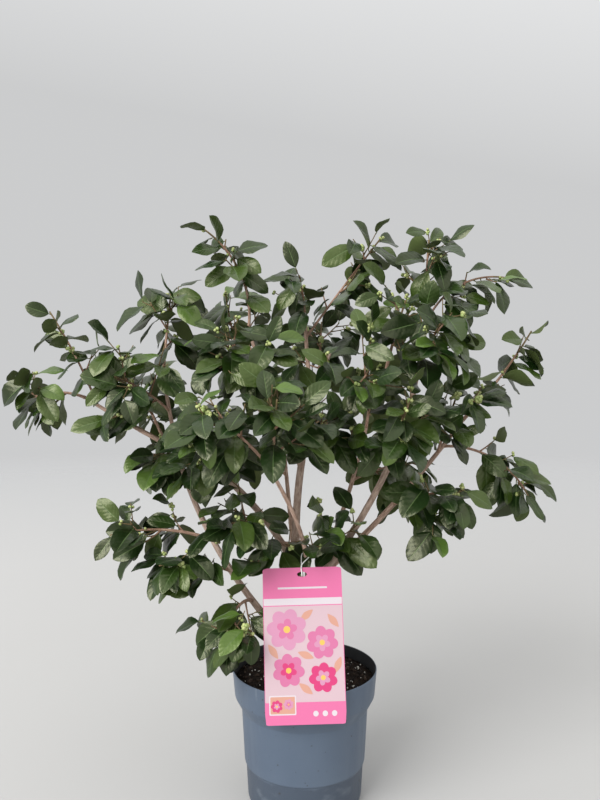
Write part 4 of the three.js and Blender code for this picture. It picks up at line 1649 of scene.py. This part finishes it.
    def seat(self, shoot: Shoot, place: LeafPlace, twist: float) -> LeafSeats:
        """One leaf on a shoot: it stands off the shoot, droops, and turns its face up and outward.

        It faces the front or the back more than the sides, as the crown is flat. At the shoot's end it is
        smaller and stands up along the shoot.

        Args:
            shoot: the shoot it grows on.
            place: its share along the shoot, its angle round it, and its eight chances.
            twist: an extra turn round the shoot.

        Returns:
            The leaf as a set of one.
        """
        share, roll, (swing, stand, droop, x, y, z, long, wide) = place
        point, way = shoot.line.at(share)
        side = turned(square_to(way), way, roll + twist + 0.9 * (swing - 0.5))
        young = share**6
        splay = math.radians((42 + 26 * stand) * (1 - 0.4 * young))
        axis = way * math.cos(splay) + side * math.sin(splay)
        axis[2] = (0.6 + 0.4 * young) * axis[2] - (0.3 + 0.65 * droop) * (1 - 0.8 * young)
        axis = unit(axis)
        outward = unit(np.array([self.sideways * point[0], point[1] - self.lit_back, 0.0]))
        chance = np.array([x - 0.5, y - 0.5, z - 0.5])
        face = self.face_chance * chance + self.face_up * UP + self.face_out * outward
        face = unit(face - face.dot(axis) * axis)
        length = (1.08 - 0.18 * share - 0.2 * young) * self.leaf_length * (0.82 + 0.36 * long)
        width = length * self.leaf_width * (0.84 + 0.32 * wide)
        curl, fold = 0.14 + 0.6 * swing * droop + 0.2 * z, 0.08 + 0.6 * x
        wave, sway = TURN * y, 0.2 * (wide - 0.5)
        measures = np.array([length, width, curl, fold, wave, sway])[:, None]
        return LeafSeats(point[None], axis[None], face[None], *measures)

    def grow(self, limbs: Limbs, room: Room, stems: list[Line]) -> None:
        """Grows all the shoots, and then the leaves, skipping what would strike or leave its space.

        Args:
            limbs: the limbs that the stems grow on.
            room: the free space.
            stems: the sprays' stems.
        """
        for k, stem in enumerate(stems):
            shoots = self.grow_spray(k, stem, Draws(SEED + 101 * (k + 1)))
            start = limbs.radius_at(SPRAYS[k].limb, SPRAYS[k].at)
            fit = self.end_fit if SPRAYS[k].at == 1 else self.side_fit
            shoots[0].base = min(self.stem_radius, fit * start)
            kept = shoots[:1] + [shoot for shoot in shoots[1:] if self.fits(shoot, room)]
            finer = self.side_twigs(kept, Draws(SEED + 9973 + 37 * k))
            self.shoots += kept + [shoot for shoot in finer if self.fits(shoot, room)]
        self.set_leaves(room)

    def fits(self, shoot: Shoot, room: Room) -> bool:
        """Whether a twig stays in its spray's space and clear of the limbs beyond its root."""
        outer = shoot.line.smooth(9).points[3:]
        return room.own(outer, shoot.spray) and room.clear(outer, self.twig_room)

    def set_leaves(self, room: Room) -> None:
        """Sets each leaf at the first twist at which it strikes no limb, twig or other leaf.

        Args:
            room: the free space.
        """
        starts = np.vstack([shoot.line.points[:-1] for shoot in self.shoots])
        ends = np.vstack([shoot.line.points[1:] for shoot in self.shoots])
        crowd = Crowd(starts, ends, LeafForm())
        beyond = len(crowd.across)
        for shoot in self.shoots:
            for place in shoot.places:
                for twist in self.twists:
                    seat = self.seat(shoot, place, twist)
                    points = crowd.sheet(seat)
                    free = room.own(points, shoot.spray) and room.clear(points[beyond:], self.leaf_room)
                    if free and crowd.takes(points):
                        self.leaves.append(seat)
                        self.owners.append((shoot.spray, self.is_young(shoot, place)))
                        break

    def is_young(self, shoot: Shoot, place: LeafPlace) -> bool:
        """Whether a leaf is a young one, as some are near the ends of twigs."""
        share, _, chances = place
        return shoot.rank > Rank.STEM and share > self.young_place and chances[5] > self.young_chance

    def build_leaves(self) -> None:
        """Makes the leaves, one piece for each part of the crown, in place of the sprays' solids."""
        finishes = [
            LeafFinish("leaf_deep", (0.006, 0.017, 0.003)),
            LeafFinish("leaf_mid", (0.015, 0.035, 0.005)),
            LeafFinish("leaf_warm", (0.032, 0.059, 0.008)),
            LeafFinish("leaf_cool", (0.009, 0.025, 0.005)),
            LeafFinish("leaf_young", (0.064, 0.116, 0.020)),
            LeafFinish("leaf_rib", (0.066, 0.112, 0.036), 0.45),
            LeafFinish("leaf_under", (0.072, 0.101, 0.030), 0.6, 0.0, 0.15),
            LeafFinish("leaf_stalk", (0.115, 0.140, 0.045), 0.5, 0.0, 0.2),
        ]
        form, materials = LeafForm(), [finish.material() for finish in finishes]
        sides = np.array([list(Side).index(Side.of(SPRAYS[spray])) for spray, _ in self.owners])
        fresh = LeafSlot.YOUNG
        owners = enumerate(self.owners)
        tints = np.array([fresh if young else (3 * spray + k) % fresh for k, (spray, young) in owners])
        for number, part in enumerate(Side):
            chosen = np.flatnonzero(sides == number)
            seats = LeafSeats.joined([self.leaves[k] for k in chosen])
            surface = Surface()
            spots, faces, slots, edge, place = form.blades(seats, tints[chosen])
            surface.add(spots, faces, slots, edge, place)
            spots, faces = form.stalks(seats)
            surface.add(spots, faces, [LeafSlot.STALK] * 2)
            piece = surface.piece(f"leaves_{part.value}", materials, SlotName.LEAF)
            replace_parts(piece, *(spray.node for spray in SPRAYS if Side.of(spray) is part))

    def build_twigs(self) -> None:
        """Makes the stems and twigs of all the sprays as one piece, woody below and green at their ends."""
        finishes = [
            BarkFinish("stem_bark", (0.45, 0.29, 0.21), (0.25, 0.145, 0.10), (0.52, 0.39, 0.30)),
            BarkFinish("twig_bark", (0.33, 0.195, 0.125), (0.18, 0.095, 0.06), (0.40, 0.28, 0.19)),
            BarkFinish("green_twig", (0.17, 0.125, 0.05), (0.11, 0.065, 0.03), (0.22, 0.18, 0.09)),
        ]
        surface = Surface()
        for number, shoot in enumerate(self.shoots):
            sides, rings = self.stem_grid if shoot.rank == Rank.STEM else self.twig_grid
            line = shoot.line.smooth(rings)
            share = np.linspace(0, 1, rings)
            knuckle = self.knuckle * np.exp(-share * shoot.length / self.knuckle_fade)
            radius = shoot.base + (shoot.tip - shoot.base) * share + knuckle
            spots, faces = tube(line, radius, sides, square_to(line.ways[rings // 2]), 0.6)
            marks = bark_place(sides, share * shoot.length / self.bark_stretch + self.bark_shift * number)
            middle = (share[:-1] + share[1:]) / 2
            bark = np.minimum(len(finishes) - 1, int(shoot.rank) + (middle > 0.5) + (middle > 0.8))
            surface.add(spots, faces, [np.repeat(bark, sides), int(bark[-1])], marks=marks)
        surface.piece("twigs", [finish.material() for finish in finishes], SlotName.BARK)

    def build_buds(self) -> None:
        """Makes the clusters of flower buds, at shoots' ends and where some leaves join, as one piece."""
        draws = Draws(SEED + 5)
        seats = []
        for shoot in self.shoots:
            shares = [share for share, _, _ in shoot.places if share > 0.5 and draws() < self.axil_share]
            shares += [1.0] if shoot.flower else []
            for share in shares:
                point, way = shoot.line.at(share)
                size = shoot.flower or self.bud_radius * draws.between(0.75, 1.05)
                spin = TURN * draws()
                for k in range(2 + int(draws() * (self.tip_buds if share == 1.0 else self.axil_buds))):
                    side = turned(square_to(way), way, spin + SPIRAL * k + draws())
                    aim = unit(way * draws.between(0.2, 0.9) + side + 0.2 * UP)
                    root = point - way * draws.between(0.6, 1.6) * k
                    seats.append((root, aim, size * draws.between(0.8, 1.15), k % 2))
        Buds().build(seats)


class BudSlot(IntEnum):
    """The material slots of the buds: two tints, and the darker foot."""

    PALE = 0
    GREEN = 1
    FOOT = 2


@dataclass
class Buds:
    """Flower buds: plump pointed grains of overlapping scales on a short stalk."""

    rows: int = 5
    sides: int = 8
    long: float = 2.1

    def build(self, seats: list[tuple[Array, Array, float, int]]) -> None:
        """All the buds in one mesh: a radius that swells and closes to a point, dented between its scales.

        Args:
            seats: for each bud its root, its direction, its radius and its tint.
        """
        roots = np.array([seat[0] for seat in seats])
        aims = np.array([seat[1] for seat in seats])
        size = np.array([seat[2] for seat in seats])[:, None, None, None]
        across = np.array([square_to(aim) for aim in aims])
        around = np.cross(aims, across)
        share = (np.arange(self.rows) + 0.5) / self.rows
        angle = round_angles(self.sides)
        swell = np.sin(np.pi * share**0.95) ** 0.6 * (1 - 0.12 * share)
        scales = 1 + 0.07 * np.cos(3 * angle[None] + 4.2 * np.floor(3 * share)[:, None])
        wide = (swell[:, None] * scales)[None, ..., None]
        cos, sin = np.cos(angle)[:, None], np.sin(angle)[:, None]
        ring = cos * across[:, None, None] + sin * around[:, None, None]
        rise = (self.long * share)[None, :, None, None] * aims[:, None, None]
        spots = (roots[:, None, None] + size * (wide * ring + rise)).reshape(len(seats), -1, 3)
        tip = roots + self.long * size[:, 0, 0] * aims
        spots = np.concatenate([spots, roots[:, None], tip[:, None]], axis=1)
        faces = drum_faces(self.rows, self.sides)
        tint = np.array([seat[3] for seat in seats])[:, None]
        feet = [np.arange(len(group))[None] < self.sides for group in faces]
        slots = [np.where(foot, BudSlot.FOOT, tint).ravel() for foot in feet]
        finishes = [
            PlainFinish("bud_pale", (0.40, 0.44, 0.17), 0.42),
            PlainFinish("bud_green", (0.28, 0.35, 0.11), 0.42),
            PlainFinish("bud_foot", (0.17, 0.20, 0.06), 0.55),
        ]
        surface = Surface()
        surface.add(spots.reshape(-1, 3), copied(faces, len(seats), spots.shape[1]), slots)
        surface.piece("buds", [finish.material() for finish in finishes], SlotName.LEAF)


class Ink(Enum):
    """The label's colours, in the order of its material slots."""

    PINK = (0.60, 0.13, 0.285)
    WHITE = (0.57, 0.51, 0.54)
    BLUSH = (0.52, 0.375, 0.41)
    ROSE = (0.52, 0.14, 0.275)
    DEEP_ROSE = (0.53, 0.035, 0.15)
    GOLD = (0.70, 0.42, 0.09)
    PEACH = (0.53, 0.27, 0.20)
    BACK = (0.66, 0.64, 0.64)
    PALE_ROSE = (0.52, 0.23, 0.35)

    @property
    def slot(self) -> int:
        """The number of the colour's slot."""
        return list(Ink).index(self)


PrintShape = tuple[Array, Ink, float]


@dataclass
class Label:
    """The hung card: rounded, with a slot at its top, and a plain printed spray of flowers."""

    width: float = 96.0
    height: float = 180.0
    thick: float = 0.8
    lean: float = 9.6
    turn: float = 1.6
    foot: float = 137.0
    corner: float = 4.0
    slot_drop: float = 8.0
    slot_wide: float = 6.0
    slot_high: float = 3.0
    clearance: float = 0.3
    aside: float = 1.0
    margin: float = 3.0
    rays: int = 192
    corner_rays: float = 0.09
    sheet_shares: Shares = (0.0, 0.12, 0.4, 1.0)
    print_height: float = 0.06
    print_sunk: float = 0.02
    print_ease: float = 0.995
    petal_step: float = 0.17
    oval_sides: int = 28
    band_sides: int = 40
    card_crease: float = 40.0
    print_crease: float = 8.0
    place: Matrix = field(default_factory=Matrix)

    def stand(self, pot: Pot) -> None:
        """Works out the label's place: leaning back on the pot's lip, its top turned to one side.

        Args:
            pot: the pot it leans on.
        """
        lean = math.radians(self.lean)
        out = pot.radius + self.clearance + (pot.height - self.foot) * math.tan(lean)
        tilt = Matrix.Rotation(0.5 * math.pi - lean, 4, "X")
        turn = Matrix.Rotation(math.radians(self.turn), 4, "Z")
        self.place = Matrix.Translation((self.aside, -out, self.foot)) @ tilt @ turn

    def placed(self, spots: Array) -> Array:
        """Returns points of the flat card where the card stands."""
        matrix = np.array(self.place)
        return spots @ matrix[:3, :3].T + matrix[:3, 3]

    def hidden(self, points: Array) -> Array:
        """Tells which points are in the card or just before it, where they would hide it.

        Args:
            points: the points.

        Returns:
            Whether each of them is.
        """
        matrix = np.array(self.place.inverted())
        x, y, z = (points @ matrix[:3, :3].T + matrix[:3, 3]).T
        level = (y > -self.margin) & (y < self.height + self.margin)
        return level & (np.abs(x) < 0.5 * self.width + self.margin) & (z > -self.margin)

    def outline(self, angle: Array) -> tuple[Array, Array]:
        """The card's edge and the slot's edge along rays from the slot's middle.

        A ray meets the nearest of the four straight sides, and where that point lies in a corner's square
        it is pulled in to the corner's arc.

        Args:
            angle: the rays' angles.

        Returns:
            Points on the card's edge and on the slot's edge.
        """
        centre = np.array([0.0, self.height - self.slot_drop])
        way = spokes(angle)
        low, high = np.array([-0.5 * self.width, 0.0]), np.array([0.5 * self.width, self.height])
        walls = np.where(way > 0, high - centre, centre - low)
        reach = (walls / np.maximum(np.abs(way), 1e-9)).min(axis=1)
        edge = centre + way * reach[:, None]
        heart = np.clip(edge, low + self.corner, high - self.corner)
        off = edge - heart
        span = np.linalg.norm(off, axis=1, keepdims=True)
        arc = heart + off / np.maximum(span, 1e-9) * self.corner
        edge = np.where((np.abs(off) > 1e-6).all(1)[:, None], arc, edge)
        return edge, centre + way * np.array([self.slot_wide, self.slot_high])

    def card(self) -> tuple[Array, list[Array], list[Array]]:
        """The card as a closed body: the front and back between the slot's edge and the card's edge.

        Returns:
            The points, the faces and their slots.
        """
        above, below = self.slot_drop, self.slot_drop - self.height
        across = 0.5 * self.width * np.array([1.0, -1.0, -1.0, 1.0])
        corners = np.arctan2([above, above, below, below], across)
        spread = (np.array([-0.5, -0.25, 0.0, 0.25, 0.5]) * self.corner_rays)[None]
        angle = np.linspace(-math.pi, math.pi, self.rays, endpoint=False)
        angle = np.unique(np.concatenate([angle, (corners[:, None] + spread).ravel()]).round(6))
        edge, slot = self.outline(angle)
        share = np.array(self.sheet_shares)[:, None, None]
        sheet = slot + (edge - slot) * share
        front = np.concatenate([sheet, np.full((*sheet.shape[:2], 1), self.thick)], axis=-1)
        back = np.concatenate([sheet[::-1], np.zeros((*sheet.shape[:2], 1))], axis=-1)
        rows = np.concatenate([front, back, front[:1]])
        count, deep = len(angle), len(sheet)
        quads = grid_faces(len(rows), count, True)[:, ::-1] % ((len(rows) - 1) * count)
        slots = np.full(len(quads), Ink.PINK.slot)
        slots[deep * count:(2 * deep - 1) * count] = Ink.BACK.slot
        return rows[:-1].reshape(-1, 3), [quads], [slots]

    def patch(self, edge: Array, ink: Ink, level: float) -> tuple[Array, list[Array], list[int]]:
        """A flat printed shape just proud of the card: its edge, eased up to a flat middle.

        Args:
            edge: points round the shape, in order against the clock.
            ink: its colour.
            level: how many prints it lies on.

        Returns:
            The points, the faces and their slots.
        """
        middle = edge.mean(0)
        low, high = self.thick - self.print_sunk, self.thick + self.print_height * (1 + level)
        count = len(edge)
        rim = np.concatenate([edge, np.full((count, 1), low)], axis=1)
        top = np.concatenate([middle + (edge - middle) * self.print_ease, np.full((count, 1), high)], axis=1)
        poles = np.array([[*middle, high], [*middle, low]])
        first = np.arange(count)
        caps = np.vstack([cap_faces(first[::-1] + count, 2 * count), cap_faces(first, 2 * count + 1)])
        return np.vstack([rim, top, poles]), [grid_faces(2, count, True), caps], [ink.slot] * 2

    def oval(
        self, x: float, y: float, wide: float, high: float, tilt: float = 0.0, point: float = 0.0
    ) -> Array:
        """An oval's edge, which may be pointed at its ends, turned about its middle.

        Args:
            x: the middle's place across.
            y: the middle's height.
            wide: half the width.
            high: half the height.
            tilt: the turn, in radians.
            point: how far the ends are drawn to points, from 0 to 1.

        Returns:
            Points round the edge.
        """
        angle = round_angles(self.oval_sides)
        narrow = np.cos(angle) * (1 - point * np.abs(np.sin(angle)) ** 1.5)
        flat = np.stack([wide * narrow, high * np.sin(angle)], axis=-1)
        cos, sin = math.cos(tilt), math.sin(tilt)
        return flat @ np.array([[cos, sin], [-sin, cos]]) + [x, y]

    def band(self, x: float, y: float, wide: float, high: float, corner: float) -> Array:
        """Returns the edge of a box with rounded corners, from its middle and its half sizes."""
        way = spokes(round_angles(self.band_sides) + 0.01)
        return np.sign(way) * (np.array([wide, high]) - corner) + corner * way + [x, y]

    def flower(self, x: float, y: float, size: float, inks: tuple[Ink, Ink]) -> list[PrintShape]:
        """A plain double flower: a ring of oval petals, a smaller ring of another tint, and a gold middle.

        Args:
            x: its place across the card.
            y: its height on the card.
            size: its radius.
            inks: the colours of the outer and the inner petals.

        Returns:
            Its shapes as edge, colour and level.
        """
        shapes = []
        for count, reach, tint, level in ((7, 0.58, inks[0], 2.0), (5, 0.3, inks[1], 3.4)):
            for k in range(count):
                angle = 0.1 * size + TURN * k / count
                across, rise = -reach * size * math.sin(angle), reach * size * math.cos(angle)
                petal = self.oval(x + across, y + rise, 0.62 * reach * size, 0.75 * reach * size, angle)
                shapes.append((petal, tint, level + self.petal_step * k))
        shapes.append((self.oval(x, y, 0.17 * size, 0.17 * size), Ink.GOLD, 4.6))
        return shapes

    def design(self) -> list[PrintShape]:
        """The print: a pale panel with a spray of flowers and leaves, and plain bands.

        Returns:
            Its shapes as edge, colour and level.
        """
        shapes = [
            (self.band(0, 140, 47.4, 4, 0.8), Ink.WHITE, 0),
            (self.band(0, 80, 47.4, 55, 0.8), Ink.BLUSH, 0),
            (self.band(0, 156, 30, 1.1, 0.6), Ink.WHITE, 0),
            (self.band(-27, 22, 16, 11, 1.5), Ink.WHITE, 1),
            (self.band(-27, 22, 14.6, 9.6, 1.0), Ink.PEACH, 1.3),
        ]
        for x, y, tilt in (
            (4, 124, -0.9), (36, 117, 0.7), (-37, 83, 0.6), (2, 78, 1.2), (40, 66, -0.4), (1, 40, 0.9),
        ):
            shapes.append((self.oval(x, y, 4.2, 10, tilt, 0.55), Ink.PEACH, 1.6))
        for x, y, size, inks in (
            (-20, 108, 24, (Ink.PALE_ROSE, Ink.ROSE)),
            (22, 92, 19, (Ink.ROSE, Ink.PALE_ROSE)),
            (-19, 61, 19, (Ink.ROSE, Ink.DEEP_ROSE)),
            (22, 52, 17, (Ink.DEEP_ROSE, Ink.PALE_ROSE)),
            (-34, 21, 7, (Ink.DEEP_ROSE, Ink.PALE_ROSE)),
            (-20, 23, 6, (Ink.PALE_ROSE, Ink.ROSE)),
        ):
            shapes += self.flower(x, y, size, inks)
        for k in range(3):
            shapes.append((self.oval(12 + 11 * k, 12, 3.2, 3.2), Ink.WHITE, 0))
        return shapes

    def build(self) -> None:
        """Makes the card in place of its solid, with its print."""
        finishes = [PlainFinish(f"label_{ink.name.lower()}", ink.value, 0.3, 300.0, 0.0001) for ink in Ink]
        inks = [finish.material() for finish in finishes]
        card = Surface()
        spots, faces, slots = self.card()
        card.add(self.placed(spots), faces, slots)
        piece = card.piece("label_card", inks, SlotName.LABEL)
        piece.data.set_sharp_from_angle(angle=math.radians(self.card_crease))
        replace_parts(piece, "label")
        shapes = Surface()
        for edge, ink, level in self.design():
            spots, faces, slots = self.patch(edge, ink, level)
            shapes.add(self.placed(spots), faces, slots)
        piece = shapes.piece("label_print", inks, SlotName.LABEL)
        piece.data.set_sharp_from_angle(angle=math.radians(self.print_crease))


@dataclass
class Tie:
    """The label's tie: a thin loop through the slot, over the card's edge and round the front bough."""

    label: Label
    limbs: Limbs
    radius: float = 0.7
    spread: float = 5.2
    stand_off: float = 3.0
    share: float = 0.42
    count: int = 120
    sides: int = 8

    def route(self) -> Array:
        """The loop's centreline, a closed curve through six points.

        Between two of them the curve is the cubic whose slope at each is half the step between its
        neighbours.

        Returns:
            Points along the curve.
        """
        label = self.label
        point, way = self.limbs.lines["front_bough"].at(self.share)
        slot = label.placed(np.array([[0.0, label.height - label.slot_drop, 0.5 * label.thick]]))[0]
        matrix = np.array(label.place)
        rise, out = matrix[:3, 1], matrix[:3, 2]
        right = unit(np.cross(way, UP))
        right = right * np.sign(right[0])
        back = unit(np.cross(right, way))
        back = back * np.sign(back[1])
        loop = np.array([
            slot + self.stand_off * out,
            slot + (label.slot_drop + self.stand_off) * rise,
            point + self.spread * right,
            point + self.spread * back,
            point - self.spread * right,
            slot - self.stand_off * out,
        ])
        place = np.linspace(0, len(loop), self.count, endpoint=False)
        k, t = place.astype(int), (place % 1)[:, None]
        before, first, last, after = (loop[(k + step) % len(loop)] for step in (-1, 0, 1, 2))
        slope, next_slope = 0.5 * (last - before), 0.5 * (after - first)
        blend = t * t * (3 - 2 * t)
        points = first * (1 - blend) + last * blend
        return points + t * (1 - t) ** 2 * slope - t * t * (1 - t) * next_slope

    def build(self) -> None:
        """Makes the loop in place of its solid: a tube whose ends meet, so its poles are left off."""
        points = self.route()
        ways = unit(np.roll(points, -1, axis=0) - np.roll(points, 1, axis=0))
        guide = unit(np.linalg.svd(points - points.mean(0))[2][2])
        spots, _ = tube(Line(points, ways), np.full(self.count, self.radius), self.sides, guide)
        quads = grid_faces(self.count + 1, self.sides, True) % (self.count * self.sides)
        surface = Surface()
        surface.add(spots[:-2], [quads], [0])
        finish = PlainFinish("tie_plastic", (0.82, 0.82, 0.8), 0.4)
        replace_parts(surface.piece("tie_loop", [finish.material()], SlotName.TIE), "label_tie")


@dataclass
class Studio:
    """A plain pale floor, soft light from above and the front left, and the camera at the photo's angle."""

    camera_place: Place = (-0.0062, -0.893, 0.519)
    lens: float = 30.3
    sensor: float = 36.0
    key_place: Place = (-3.4, -3.8, 3.4)
    key_aim: Place = (0.0, 0.0, 0.4)
    key_size: float = 4.0
    key_power: float = 410.0
    horizon: Colour = (0.60, 0.605, 0.61)
    bright: Colour = (1.38, 1.39, 1.40)
    bright_way: Place = (0.16, -0.36, 0.92)
    floor_near: Colour = (0.44, 0.435, 0.425)
    floor_far: Colour = (0.55, 0.55, 0.55)
    floor_reach: float = 7.0
    floor_sides: int = 96

    def key_light(self) -> None:
        """Adds the square soft light."""
        lamp = bpy.data.lights.new("key", "AREA")
        lamp.size, lamp.energy = self.key_size, self.key_power
        made = bpy.data.objects.new("key", lamp)
        made.location = self.key_place
        toward = Vector(self.key_aim) - Vector(self.key_place)
        made.rotation_euler = toward.to_track_quat("-Z", "Y").to_euler()
        bpy.context.scene.collection.objects.link(made)

    def sky(self, tree: bpy.types.NodeTree) -> None:
        """Lights the world evenly all round, and more from above, in front and a little to the right.

        Args:
            tree: the world's nodes.
        """
        place = node(tree, "TexCoord", "Generated", {})
        toward = node(tree, "VectorMath", "Value", {0: place, 1: self.bright_way}, operation="DOT_PRODUCT")
        rise = node(tree, "MapRange", "Result", {"Value": toward})
        inputs = {"Factor": rise, MIX_FIRST: self.horizon, MIX_SECOND: self.bright}
        colour = node(tree, "Mix", MIX_RESULT, inputs, data_type="RGBA")
        feed(tree, tree.nodes["Background"].inputs["Color"], colour)

    def build(self) -> None:
        """Makes the floor, the sky, the light and the camera."""
        mesh = bpy.data.meshes.new("floor")
        rim = lathe(np.array([self.floor_reach]), np.zeros(1), self.floor_sides)
        mesh.from_pydata(rim.tolist(), [], [list(range(self.floor_sides))])
        mesh.materials.append(FloorFinish("floor_paint", self.floor_near, self.floor_far).material())
        floor = bpy.data.objects.new("floor", mesh)
        bpy.context.scene.collection.objects.link(floor)
        floor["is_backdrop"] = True
        world = bpy.data.worlds.new("soft_sky")
        world.use_nodes = True
        self.sky(world.node_tree)
        bpy.context.scene.world = world
        self.key_light()
        lens = bpy.data.cameras.new("camera")
        lens.lens, lens.sensor_width, lens.sensor_fit = self.lens, self.sensor, "AUTO"
        camera = bpy.data.objects.new("camera", lens)
        camera.location, camera.rotation_euler = self.camera_place, (0.5 * math.pi, 0.0, 0.0)
        bpy.context.scene.collection.objects.link(camera)
        bpy.context.scene.camera = camera
        bpy.context.scene.view_settings.view_transform = "Standard"


def main() -> None:
    """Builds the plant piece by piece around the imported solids."""
    logging.basicConfig(level=logging.INFO, format="%(message)s")
    for leftover in list(bpy.data.objects):
        bpy.data.objects.remove(leftover)
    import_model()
    cad_low, cad_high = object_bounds()
    pot, soil, limbs, label, crown = Pot(), Soil(), Limbs(), Label(), Crown()
    label.stand(pot)
    limbs.grow()
    stems = [Line.grown(limbs.lines[spray.limb].at(spray.at)[0], spray.course, 3) for spray in SPRAYS]
    low, high = np.array(cad_low) / MM, np.array(cad_high) / MM
    room = Room(*limbs.pieces(), np.array([stem.points for stem in stems]), low, high, pot, label)
    crown.grow(limbs, room, stems)
    LOG.info("%d shoots, %d leaves", len(crown.shoots), len(crown.leaves))
    pot.build()
    soil.build(pot)
    limbs.build()
    crown.build_twigs()
    crown.build_leaves()
    crown.build_buds()
    label.build()
    Tie(label, limbs).build()
    Studio().build()
    low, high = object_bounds()


if __name__ == "__main__":
    main()
